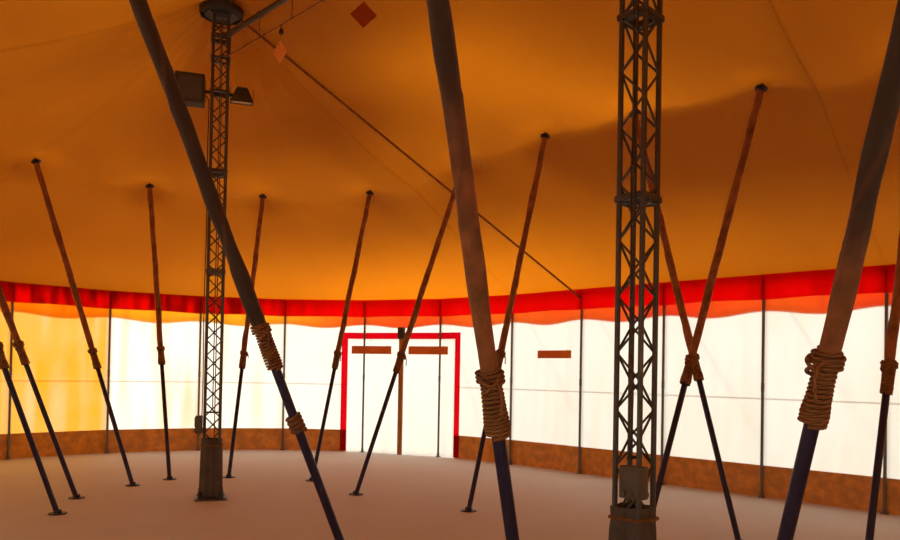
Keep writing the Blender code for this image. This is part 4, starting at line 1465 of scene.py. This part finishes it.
def make_mast(name, x, turn):
    """Four legs and a close zigzag on each face, with flanges, bolts, collars and a base."""
    top = mast_top(name)
    low, high = BASE_THICKNESS * 0.5, top - 0.012

    def corner(number, height, half=MAST_WIDTH / 2):
        east, north = CORNERS[number % 4]
        flat = Matrix.Rotation(turn, 3, "Z") @ Vector((east * half, north * half, 0))
        return Vector((x + flat.x, flat.y, height))

    leg = rod(corner(0, low), corner(0, high), LEG_RADIUS, 16, 0.002)
    parts = [leg]
    for number in (1, 2, 3):
        parts.append(copy_of(leg, Matrix.Translation(corner(number, low) - corner(0, low))))
    count = round((high - low - 0.1) / BRACE_PITCH)
    panel = (high - low - 0.1) / count
    base = low + 0.05
    for face in range(4):
        bars = []
        for k in range(count):
            near, far = (face, face + 1) if (k + face) % 2 else (face + 1, face)
            if k < 2:
                bars.append(rod(corner(near, base + k * panel), corner(far, base + (k + 1) * panel), BRACE_RADIUS, 8))
                parts.append(bars[k])
            else:
                parts.append(copy_of(bars[k % 2], Matrix.Translation((0, 0, (k - k % 2) * panel))))
        for height in (low + 0.05, *COLLAR_HEIGHTS, high - 0.06):
            for shift in (-0.03, 0.03):
                parts.append(rod(corner(face, height + shift), corner(face + 1, height + shift), BRACE_RADIUS, 8))
    for width, height in ((BASE_WIDTH, BASE_THICKNESS / 2), (COLLAR_WIDTH, top - BASE_THICKNESS / 2 - 0.001)):
        parts.append(slab((x, 0, height), (width, width, BASE_THICKNESS), 0.003, turn))
    outside = MAST_WIDTH + 2 * LEG_RADIUS
    for height in (*COLLAR_HEIGHTS, LAMP_HEIGHT):
        for shift in (-1, 1):
            centre = (x, 0, height + shift * COLLAR_THICKNESS * 0.27)
            parts.append(plate_with_hole(centre, outside + 0.012, COLLAR_THICKNESS * 0.45, turn))
    bolt = turned(MAST_BOLT, 6)
    for height in COLLAR_HEIGHTS:
        for number in range(4):
            for pull in (0.112, 0.08):
                parts.append(copy_of(bolt, Matrix.Translation(corner(number, height, pull))))
    inward = -copysign(1, x)
    for height, radius in ((BOOM_HEIGHT, BOOM_RADIUS), (CHORD_HEIGHT, CHORD_RADIUS)):
        parts.append(plate_with_hole((x, 0, height), outside + 0.02, 1.3 * radius, turn))
        parts.append(slab((x + inward * (BOOM_COLLAR / 2 - 0.045), 0, height), (0.09, 0.1, 1.3 * radius), 0.002))
    for number in range(4):
        gusset = slab((0, 0, 0), (0.07, 0.008, 0.1), 0.001)
        spot = corner(number, BASE_THICKNESS + 0.05, MAST_WIDTH / 2 + 0.035)
        gusset.data.transform(standing(spot, turn + pi / 4 + number * pi / 2))
        parts.append(gusset)
        peg = corner(number, 0, BASE_WIDTH / 2 - 0.03)
        parts.append(copy_of(bolt, Matrix.Translation(peg + up(BASE_THICKNESS - 0.004))))
    bpy.data.objects.remove(bolt)
    piece(f"mast_{name}", parts, "mast_paint", [f"mast_{name}"], 35)


def resize(value, centre):
    return lambda: bpy.ops.transform.resize(value=value, center_override=centre)


def sink(depth):
    """Extrudes the chosen face inwards, along X."""
    return lambda: bpy.ops.mesh.extrude_region_move(TRANSFORM_OT_translate={"value": (-depth, 0, 0)})


def inset(thickness):
    return lambda: bpy.ops.mesh.inset(thickness=thickness)


def make_lamps(name, x, turn):
    """The arm across the mast with a deep lamp box on one end and a floodlight on the other."""
    spin = standing((x, 0, LAMP_HEIGHT), turn)
    tip = Matrix.Rotation(radians(100), 4, "Y")
    tip = spin @ (Matrix.Translation((0, FLOOD_REACH, 0)) @ tip @ Matrix.Translation((0, -FLOOD_REACH, 0)))
    parts = [rod((0, -LAMP_REACH, 0), (0, FLOOD_REACH, 0), 0.02, 16, 0.002)]
    for centre, box in ((-LAMP_REACH, LAMP_BOX), (FLOOD_REACH, FLOOD_BOX)):
        for end in (-1, 1):
            parts.append(slab((0, centre + end * (box[1] / 2 - 0.006), 0), (0.03, 0.006, box[2] * 0.7), 0.001))
    piece(f"lamp_arm_{name}", parts, "dark_iron", moved=spin)
    deep, wide, tall = LAMP_BOX
    body = slab((0, -LAMP_REACH, 0), (deep * 0.86, wide * 0.92, tall * 0.96), 0.02, segments=3)
    edit(body, "faces", lambda f: f.normal.x > 0.99 and f.calc_area() > 0.02, inset(0.02), sink(0.02))
    parts = [body]
    for k in range(5):
        parts.append(slab((-deep * 0.43, -LAMP_REACH, -0.12 + 0.06 * k), (0.02, wide * 0.8, 0.006), 0.001))
    piece(f"lamp_box_{name}", parts, "lamp_black", moved=spin)
    parts = []
    for k in range(13):
        ends = ((deep * 0.41, -LAMP_REACH + side * GRILLE_HALF, -0.15 + 0.025 * k) for side in (-1, 1))
        parts.append(rod(*ends, 0.0022, 6))
    parts.append(slab((deep * 0.37, -LAMP_REACH, 0), (0.004, 2 * GRILLE_HALF, 0.33), 0.001))
    piece(f"lamp_grille_{name}", parts, "box_grey", moved=spin)
    deep, wide, tall = FLOOD_BOX
    middle = (0, FLOOD_REACH, 0)
    flood = slab(middle, (deep, wide, tall * 0.9))
    edit(flood, "faces", lambda f: f.normal.x < -0.99, resize((1, 0.5, 0.55), middle))
    edit(flood, "faces", lambda f: f.normal.x > 0.99, inset(0.014), sink(0.03), resize((1, 0.85, 0.85), middle))
    round_edges(flood, 0.004, lambda e: e.calc_face_angle(0) > 0.3)
    parts = [flood]
    for k in range(7):
        parts.append(slab((-deep * 0.5, FLOOD_REACH, -0.06 + 0.02 * k), (0.03, wide * 0.44, 0.004), 0.001))
    piece(f"floodlight_{name}", parts, "lamp_black", moved=tip)
    glass = slab((deep * 0.5 - 0.012, FLOOD_REACH, 0), (0.004, wide - 0.045, tall * 0.9 - 0.045), 0.001)
    piece(f"floodlight_glass_{name}", [glass], "lamp_glass", moved=tip)


def make_switch_box(name, x, turn):
    """A socket box on the mast, with its lid, sockets and glands."""
    wide, deep, tall = SWITCH_BOX
    centre = Vector((MAST_WIDTH * 0.5, -MAST_WIDTH / 2 - deep / 2 - 0.008, 0))
    parts = [
        slab(centre, (wide - 0.022, deep - 0.03, tall - 0.018), 0.008, segments=2),
        slab(centre + Vector((0, -deep / 2 + 0.012, 0.03)), (wide * 0.8, 0.012, tall * 0.5), 0.004, segments=2),
    ]
    for k in range(3):
        ends = (centre + Vector((-0.055 + 0.055 * k, -deep / 2 + out, -0.075)) for out in (0.02, 0.004))
        parts.append(rod(*ends, 0.021, 20, 0.003))
    for k in range(3):
        ends = (centre + Vector((-0.04 + 0.04 * k, 0, -tall / 2 + rise)) for rise in (-0.02, 0.01))
        parts.append(rod(*ends, 0.011, 12, 0.002))
    for height in (-0.08, 0.08):
        parts.append(slab((centre.x, -MAST_WIDTH / 2 - 0.012, height), (MAST_WIDTH * 0.9, 0.006, 0.03), 0.001))
    piece(f"switch_box_{name}", parts, "box_grey", moved=standing((x, 0, SWITCH_HEIGHT), turn))


def make_mast_cables(name, x, turn):
    """The supply cable from the box up the mast to the lamps, and the two hoist ropes inside it."""
    spin = standing((x, 0, 0), turn)
    cables, ropes, cleats = [], [], []
    first, last = SWITCH_HEIGHT + 0.1, LAMP_HEIGHT - 0.15
    for lane, (cx, cy) in enumerate(((0.05, -0.125), (0.03, -0.128))):
        path = []
        for k in range(60):
            height = first + (last - first) * k / 59
            sway = 0.008 * sin(height * 5 + lane * 2) + 0.006 * wander(height * 1.3, lane, 0)
            path.append(Vector((cx + sway, cy - 0.004 * (sin(height * 3.1) + 1), height)))
        for spot in ((cx * 0.6, -0.15, -0.08), (0.03, -0.2, -0.05), (0.0, -0.25, -0.03)):
            path.append(Vector(spot) + up(LAMP_HEIGHT))
        cables.append(swept("cable", path, 0.0055, 8))
    piece(f"mast_cable_{name}", cables, "cable_black", angle=60, moved=spin)
    for cx, cy, low in ((0.02, 0.03, 0.32), (-0.035, 0.0, 1.15)):
        path = segment((cx, cy, low), (cx * 0.8, cy * 0.6, mast_top(name) - 0.04), 50)
        ropes.append(swept("hoist", path, 0.007, 8))
    piece(f"hoist_rope_{name}", ropes, "rope", angle=60, moved=spin)
    for height in (1.12, 0.3):
        cleats.append(rod((0, -0.09, height), (0, 0.09, height), 0.012, 12, 0.002))
    piece(f"hoist_cleats_{name}", cleats, "dark_iron", moved=spin)


def squared(angle):
    """How far out a rounded square reaches at an angle."""
    return 1 / max(abs(cos(angle)), abs(sin(angle))) ** 0.7


def make_foot_wrap(name, x, turn):
    """Padding cloth tied round the foot of a mast in loose upright folds."""
    wide, deep = 96, 26
    spin = standing((x, 0, 0), turn)

    def spot(c, r):
        angle = -tau * c / wide
        down = r / (deep - 1)
        fold = cos(11 * angle + 1.5 * wander(cos(angle), sin(angle), down))
        tie = exp(-((down - 0.12) / 0.05) ** 2)
        reach = (0.128 + 0.008 * down) * squared(angle) + (0.007 + 0.008 * down) * fold * (1 - 0.8 * tie) - 0.004 * tie
        ragged = 0.012 * wander(cos(angle) * 2, sin(angle) * 2, 4.0) * (down if down > 0.5 else 1 - down)
        point = Vector((cos(angle) * reach, sin(angle) * reach, WRAP_TOP - WRAP_HEIGHT * down + ragged))
        return point, (c / wide, down * WRAP_HEIGHT), (0.4 if r in (0, deep - 1) else 0.0, 0.3)

    made, area = cloth(f"foot_wrap_{name}", wide, deep, spot, 0.003, closed=True)
    made.data.transform(spin)
    dress(made, "padding")
    ring = []
    for k in range(97):
        angle = tau * k / 48
        ring.append(Vector((cos(angle), sin(angle), 0)) * (0.136 * squared(angle) + 0.004) + up(0.685 + 0.012 * k / 48))
    piece(f"foot_wrap_tie_{name}", [swept("tie", ring, 0.005, 8)], "rope", angle=60, moved=spin)


def make_crown(name, x):
    """The crown: a turned dish with a rim of bolts, webbing eyes below and a capped hub above."""
    low = mast_top(name)
    top = low + CROWN_THICKNESS
    wide, rim, peak = CROWN_RADIUS, HUB_RADIUS, PEAK_HEIGHT
    dish = [
        (0, low), (0.2, low), (0.22, low + 0.03), (wide * 0.88, low + 0.03), (wide * 0.92, low),
        (wide * 0.98, low + 0.012), (wide, low + 0.03), (wide, top - 0.006), (wide - 0.008, top), (0, top),
    ]
    hub = [
        (0, top - 0.01), (rim, top - 0.01), (rim, peak + 0.12), (rim + 0.014, peak + 0.13), (rim + 0.014, peak + 0.15),
        (rim, peak + 0.16), (rim * 0.95, peak + 0.21), (rim * 0.4, HUB_TOP - 0.006), (0.02, HUB_TOP), (0, HUB_TOP),
    ]
    collar = [
        (rim + 0.002, peak + 0.03), (0.16, peak), (0.24, peak - 0.05), (0.245, peak - 0.045),
        (0.165, peak + 0.012), (rim + 0.002, peak + 0.045), (rim + 0.002, peak + 0.03),
    ]
    parts = [turned(dish, 48, (x, 0, 0)), turned(hub, 32, (x, 0, 0))]
    bolt = turned([(0, -0.02), (0.012, -0.02), (0.012, 0.0), (0, 0.0)], 6)
    eye = add("torus", major_radius=0.022, minor_radius=0.005, major_segments=16, minor_segments=8)
    eye.data.transform(Matrix.Rotation(pi / 2, 4, "X"))
    out = Matrix.Translation((BOLT_CIRCLE, 0, 0))
    for k in range(CROWN_BOLTS):
        turn = tau * (k + 0.5) / CROWN_BOLTS
        parts.append(copy_of(bolt, standing((x, 0, low + 0.03), turn) @ out))
        if k % 2:
            parts.append(copy_of(eye, standing((x, 0, low + 0.012), turn) @ out))
    bpy.data.objects.remove(bolt)
    bpy.data.objects.remove(eye)
    piece(f"crown_{name}", parts, "dark_iron", [f"crown_{name}"], 35)
    piece(f"crown_collar_{name}", [turned(collar, 40, (x, 0, 0))], "canopy_cloth_plain", angle=50)


def make_ridge():
    """The boom between the masts, the cable under it, its hangers, and what hangs from them."""
    reach = HALF - BOOM_COLLAR / 2 - 0.0005
    parts = [rod((-reach, 0, BOOM_HEIGHT), (reach, 0, BOOM_HEIGHT), BOOM_RADIUS, 24, 0.003)]
    inner, outer = BOOM_RADIUS, BOOM_RADIUS + 0.006
    clamp = turned([(inner, -0.02), (outer, -0.018), (outer, 0.018), (inner, 0.02), (inner, -0.02)], 20)
    clamp.data.transform(Matrix.Rotation(pi / 2, 4, "Y"))
    for k in range(TRUSS_BAYS + 1):
        x = -reach * 0.97 + 2 * reach * 0.97 * k / TRUSS_BAYS
        parts.append(copy_of(clamp, Matrix.Translation((x, 0, BOOM_HEIGHT))))
        parts.append(rod((x, 0, CHORD_HEIGHT - 0.006), (x, 0, BOOM_HEIGHT - 0.03), 0.0045, 8))
    for x in (-reach + 0.012, reach - 0.012):
        parts.append(copy_of(clamp, Matrix.Translation((x, 0, BOOM_HEIGHT))))
    bpy.data.objects.remove(clamp)
    piece("ridge_truss", parts, "mast_paint", ["ridge_truss"])
    ropes = []
    for side in (-1, 1):
        path = []
        for k in range(61):
            height = CHORD_HEIGHT + side * 0.003 + 0.004 * sin(k * 1.3)
            path.append(Vector((-reach + 2 * reach * k / 60, side * 0.006, height)))
        ropes.append(swept("chord", path, 0.0065, 8))
    piece("ridge_cable", ropes, "rope", angle=60)


# Each pendant's distance from the west mast, width, height, middle, turn and finish
PENDANTS = ((1.45, 0.19, 0.265, 5.42, 0.5, "pendant_pale"), (3.03, 0.275, 0.275, 5.34, 0.9, "pendant_deep"))
DROP = [
    (0, 5.62), (0.02, 5.625), (0.03, 5.65), (0.02, 5.68), (0.006, 5.70), (0.005, CHORD_HEIGHT), (0, CHORD_HEIGHT),
]

# The roof lines start so far from a mast, and end so far under the eave, at these stations
LINE_START = 0.27
LINE_DROP = 0.12
ROOF_LINES = (("west", -HALF, 3.0), ("east", HALF, 18.0))
SHACKLE = [(0.009, -0.03), (0.016, -0.028), (0.018, 0.0), (0.016, 0.028), (0.009, 0.03), (0.009, -0.03)]


def make_pendants():
    """Thin diamonds and a dark drop that hang on threads from the ridge cable."""
    for number, (from_mast, wide, tall, centre, yaw, material) in enumerate(PENDANTS, 1):
        x = -HALF + from_mast
        plate = add("cube", size=1.0)
        plate.data.transform(Matrix.Diagonal((0.7071, 0.004, 0.7071, 1.0)))
        plate.data.transform(Matrix.Rotation(pi / 4, 4, "Y"))
        plate.data.transform(Matrix.Diagonal((wide, 1.0, tall, 1.0)))
        round_edges(plate, 0.001)
        plate.data.transform(standing((x, 0, centre), yaw))
        piece(f"pendant_{number}", [plate], material)
        thread = segment((x, 0, centre + tall / 2 - 0.006), (x, 0, CHORD_HEIGHT), 6)
        piece(f"pendant_thread_{number}", [swept("thread", thread, 0.0015, 6)], "rope", angle=60)
    piece("pendant_drop", [turned(DROP, 16, (-HALF + 1.47, 0, 0))], "dark_iron")


def make_roof_lines():
    """The taut line from each mast top out to the eave at its third side pole."""
    for name, x, station in ROOF_LINES:
        start = Vector((x, 0, mast_top(name) + 0.01))
        end = place(station, VALANCE_DISTANCE - 0.02, EAVE_HEIGHT - LINE_DROP)
        way = (end - start).normalized()
        start = start + Vector((way.x, way.y, 0)).normalized() * LINE_START
        piece(f"roof_line_{name}", [swept("line", segment(start, end, 60), 0.017, 10)], "rope", angle=60)
        parts = [
            turned(SHACKLE, 16, end - way * 0.05, way),
            swept("ring", hoop(end, up(1), along(station), RING_RADIUS, 16), 0.005, 8),
            rod(end, place(station, POLE_DISTANCE - 0.015, EAVE_HEIGHT - LINE_DROP), 0.006, 10, 0.001),
        ]
        piece(f"roof_line_fitting_{name}", parts, "dark_iron")


# Poles, ropes and stakes outside


def stations_of(low, high):
    """The stations of a run; the straight sides have both of their corners."""
    return [k for k in range(low, high + 1) if low in (0, SOUTH) or k not in (low, high)]


def make_side_poles():
    """Round side poles with foot plates and spigots, and the cable that ties their tops."""
    for name, low, high in GROUPS:
        parts, path = [], []
        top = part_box(f"side_poles_{name}")[1][2] - 0.002
        thin = SIDE_POLE_RADIUS
        profile = [
            (0, 0), (0.05, 0), (0.05, 0.008), (0.046, 0.012), (0.027, 0.013), (0.027, 0.07), (thin, 0.074),
            (thin, 1.5), (0.0245, 1.505), (0.0245, 1.62), (thin, 1.625), (thin, top - 0.035), (0.017, top - 0.03),
            (0.015, top - 0.002), (0, top),
        ]
        pole = turned(profile, 16)
        for k in stations_of(low, high):
            parts.append(copy_of(pole, Matrix.Translation(place(k, POLE_DISTANCE))))
        bpy.data.objects.remove(pole)
        for a in range(low, high):
            for m in range(1 if path else 0, 7):
                station = a + m / 6 - (1e-6 if m == 6 else 0)
                path.append(chord_point(station, POLE_DISTANCE, EAVE_HEIGHT - 0.03 - 0.004 * sin(pi * m / 6)))
        parts.append(swept("cable", path, 0.005, 8))
        piece(f"side_poles_{name}", parts, "galvanised_steel", [f"side_poles_{name}"], 35)


def make_belt(name, low, high):
    """The webbing belt round the eave."""
    deep = 5

    def spot(c, r):
        station = low + c / 8
        height = EAVE_HEIGHT - 0.001 - BELT_HEIGHT * r / (deep - 1)
        point = chord_point(station, BELT_DISTANCE + 0.0004 * (r % 2), height)
        return point, (station * CLOTH_SCALE, r * 0.0125), (0.0, 0.0)

    belt, _ = cloth(f"eave_belt_{name}", (high - low) * 8 + 1, deep, spot, SHEET_THICKNESS)
    dress(belt, "webbing", [f"guy_lines_{name}"])
    length = bay_length(low + 0.5) * (high - low)


def make_guy(k, shift):
    """A ring on the belt, a tight rope, its slider and its stake: the ropes, then the steel."""
    way = outward(k)
    start = place(k + shift, BELT_DISTANCE + 0.006, EAVE_HEIGHT - BELT_HEIGHT / 2)
    foot = place(k, END_RADIUS + GUY_REACH)
    foot = foot + along(k) * (start - place(k, 0)).dot(along(k))
    tip = foot + way * STAKE_LEAN + up(STAKE_HEIGHT)
    knot = foot.lerp(tip, 0.6)
    eye = start + way * 0.028
    ring = swept("ring", hoop(eye, way, up(1), RING_RADIUS, 16), 0.004, 8)
    line = knot - eye
    run = segment(eye + line.normalized() * 0.02, knot - line.normalized() * 0.03, 16)
    ropes = [swept("guy", run, sizes().guy_radius, 8)]
    wraps = []
    axis = (tip - foot).normalized()
    side, other = square_to(axis)
    for m in range(49):
        turn = m * pi / 6
        wraps.append(knot + axis * (m * 0.0014 - 0.03) + (side * cos(turn) + other * sin(turn)) * 0.025)
    ropes.append(swept("hitch", wraps, sizes().guy_radius * 0.9, 6))
    slider = slab((0, 0, 0), (0.03, 0.012, 0.1), 0.004)
    slider.data.transform(Matrix.Translation(eye.lerp(knot, 0.72)) @ line.to_track_quat("Z", "Y").to_matrix().to_4x4())
    long = (tip - foot).length
    profile = [
        (0, 0), (0.018, 0), (0.018, long - 0.03), (0.03, long - 0.026), (0.032, long - 0.012), (0.022, long), (0, long),
    ]
    stake = turned(profile, 14, foot, tip - foot)
    edit(stake, "verts", lambda v: v.co.z < 0.006, resize((1, 1, 0), (0, 0, 0)))
    return ropes, [ring, slider, stake]


def make_guys():
    """The belt round the eave, and at each pole a guy with its stake."""
    for name, low, high in GROUPS:
        make_belt(name, low, high)
        ropes, steel = [], []
        space = CORNER_SPACE / bay_length(low + 0.5)
        for k in stations_of(low, high):
            shift = {low: space, high: -space}.get(k, 0)
            cords, fittings = make_guy(k, shift)
            ropes += cords
            steel += fittings
        piece(f"guy_ropes_{name}", ropes, "rope", angle=60)
        piece(f"guy_stakes_{name}", steel, "galvanised_steel")


# Stage

SKY_COLOUR = (1.0, 0.98, 0.95, 1.0)
SUN_COLOUR = (1.0, 0.97, 0.9)

# Each light's name, strength, width in degrees and direction
SUNS = (("key", 1.8, 25, (0.5, 0.55, -0.67)), ("fill", 1.7, 4, (0.7, -0.68, -0.22)))

# The camera's place, its heading and its pitch and roll in radians
CAMERA_PLACE = (5.9485, -4.6595, 1.7005)
CAMERA_HEADING = (-0.70982, 0.70438, 0)
CAMERA_PITCH = 0.0146
CAMERA_ROLL = 0.0182

# The picture's size, its focal length and the height of its optical axis, in pixels
PICTURE_WIDTH = 900
PICTURE_HEIGHT = 540
FOCAL_LENGTH = 745
AXIS_HEIGHT = 361.2


def make_stage():
    """A plain pale floor, soft light from the sky and the west, and the camera."""
    ground = add("plane", size=160.0, location=(0, 0, -0.001))
    edit(ground, "faces", lambda f: True, lambda: bpy.ops.mesh.subdivide(number_cuts=3))
    ground.name = "floor"
    ground.data.materials.append(finish("pale_floor"))
    world = bpy.data.worlds.new("soft_sky")
    world.use_nodes = True
    sky = world.node_tree.nodes["Background"]
    sky.inputs["Color"].default_value = SKY_COLOUR
    sky.inputs["Strength"].default_value = 1.0
    bpy.context.scene.world = world
    for name, energy, angle, way in SUNS:
        data = bpy.data.lights.new(name, "SUN")
        data.energy = energy
        data.angle = radians(angle)
        data.color = SUN_COLOUR
        lamp = link(name, data)
        lamp.rotation_euler = Vector(way).to_track_quat("-Z", "Y").to_euler()
    level = Vector(CAMERA_HEADING).normalized()
    right = Vector((level.y, -level.x, 0))
    ahead = level * cos(CAMERA_PITCH) + up(sin(CAMERA_PITCH))
    above = right.cross(ahead)
    across = right * cos(CAMERA_ROLL) + above * sin(CAMERA_ROLL)
    upright = above * cos(CAMERA_ROLL) - right * sin(CAMERA_ROLL)
    data = bpy.data.cameras.new("camera")
    data.sensor_width = 36
    data.lens = FOCAL_LENGTH / PICTURE_WIDTH * data.sensor_width
    data.shift_y = (AXIS_HEIGHT - PICTURE_HEIGHT / 2) / PICTURE_WIDTH
    data.clip_start = 0.05
    data.clip_end = 500
    camera = link("camera", data)
    turn = Matrix((across, upright, -ahead)).transposed().to_4x4()
    camera.matrix_world = Matrix.Translation(CAMERA_PLACE) @ turn
    bpy.context.scene.camera = camera
    bpy.context.scene.view_settings.view_transform = "Standard"


# Operators


class MarqueeOperator:
    bl_options = {"REGISTER", "UNDO"}


class MARQUEE_OT_canopy(MarqueeOperator, bpy.types.Operator):
    """Makes the canopy sections with their seams, creases and scalloped band"""

    bl_idname = "marquee.canopy"
    bl_label = "Canopy"

    def execute(self, context):
        make_canopy()
        return {"FINISHED"}


class MARQUEE_OT_valances(MarqueeOperator, bpy.types.Operator):
    """Makes the red inner band"""

    bl_idname = "marquee.valances"
    bl_label = "Inner band"

    def execute(self, context):
        make_valances()
        return {"FINISHED"}


class MARQUEE_OT_walls(MarqueeOperator, bpy.types.Operator):
    """Makes the wall curtains"""

    bl_idname = "marquee.walls"
    bl_label = "Walls"

    def execute(self, context):
        make_walls()
        return {"FINISHED"}


class MARQUEE_OT_exits(MarqueeOperator, bpy.types.Operator):
    """Makes the borders, leaves, posts and boards of the ways out"""

    bl_idname = "marquee.exits"
    bl_label = "Exits"

    def execute(self, context):
        make_exits()
        return {"FINISHED"}


class MARQUEE_OT_poles(MarqueeOperator, bpy.types.Operator):
    """Makes the leaning poles with their sleeves and lashings"""

    bl_idname = "marquee.poles"
    bl_label = "Leaning poles"

    def execute(self, context):
        for number in range(1, len(INNER_POLES) + 1):
            make_pole_tube(number)
            make_pole_sleeve(number)
            make_pole_lashing(number)
        return {"FINISHED"}


class MARQUEE_OT_masts(MarqueeOperator, bpy.types.Operator):
    """Makes the lattice masts with their crowns, lamps, boxes and ropes"""

    bl_idname = "marquee.masts"
    bl_label = "Masts"

    def execute(self, context):
        for name, x, turn in MASTS:
            make_mast(name, x, turn)
            make_lamps(name, x, turn)
            make_switch_box(name, x, turn)
            make_mast_cables(name, x, turn)
            make_foot_wrap(name, x, turn)
            make_crown(name, x)
        return {"FINISHED"}


class MARQUEE_OT_ridge(MarqueeOperator, bpy.types.Operator):
    """Makes the boom, its cable, the pendants and the roof lines"""

    bl_idname = "marquee.ridge"
    bl_label = "Ridge"

    def execute(self, context):
        make_ridge()
        make_pendants()
        make_roof_lines()
        return {"FINISHED"}


class MARQUEE_OT_outside(MarqueeOperator, bpy.types.Operator):
    """Makes the side poles, the belt, the guys and the stakes"""

    bl_idname = "marquee.outside"
    bl_label = "Side poles and guys"

    def execute(self, context):
        make_side_poles()
        make_guys()
        return {"FINISHED"}


class MARQUEE_OT_stage(MarqueeOperator, bpy.types.Operator):
    """Sets the floor, the light and the camera"""

    bl_idname = "marquee.stage"
    bl_label = "Stage"

    def execute(self, context):
        make_stage()
        return {"FINISHED"}


class MARQUEE_PT_panel(bpy.types.Panel):
    """Lists the tent's pieces and their settings"""

    bl_idname = "MARQUEE_PT_panel"
    bl_label = "Marquee tent"
    bl_space_type = "VIEW_3D"
    bl_region_type = "UI"
    bl_category = "Marquee"

    def draw(self, context):
        for operator in OPERATORS:
            self.layout.operator(operator.bl_idname)
        for group in (context.scene.marquee_sizes, context.scene.marquee_colours):
            for key in group.__annotations__:
                self.layout.prop(group, key)


OPERATORS = (
    MARQUEE_OT_canopy, MARQUEE_OT_valances, MARQUEE_OT_walls, MARQUEE_OT_exits, MARQUEE_OT_poles,
    MARQUEE_OT_masts, MARQUEE_OT_ridge, MARQUEE_OT_outside, MARQUEE_OT_stage,
)
CLASSES = (MarqueeSizes, MarqueeColours, *OPERATORS, MARQUEE_PT_panel)


def register():
    for cls in CLASSES:
        bpy.utils.register_class(cls)
    bpy.types.Scene.marquee_sizes = PointerProperty(type=MarqueeSizes)
    bpy.types.Scene.marquee_colours = PointerProperty(type=MarqueeColours)


def unregister():
    del bpy.types.Scene.marquee_colours
    del bpy.types.Scene.marquee_sizes
    for cls in reversed(CLASSES):
        bpy.utils.unregister_class(cls)


def main():
    register()
    for operator in OPERATORS:
        group, name = operator.bl_idname.split(".")
        getattr(getattr(bpy.ops, group), name)()


if __name__ == "__main__":
    main()
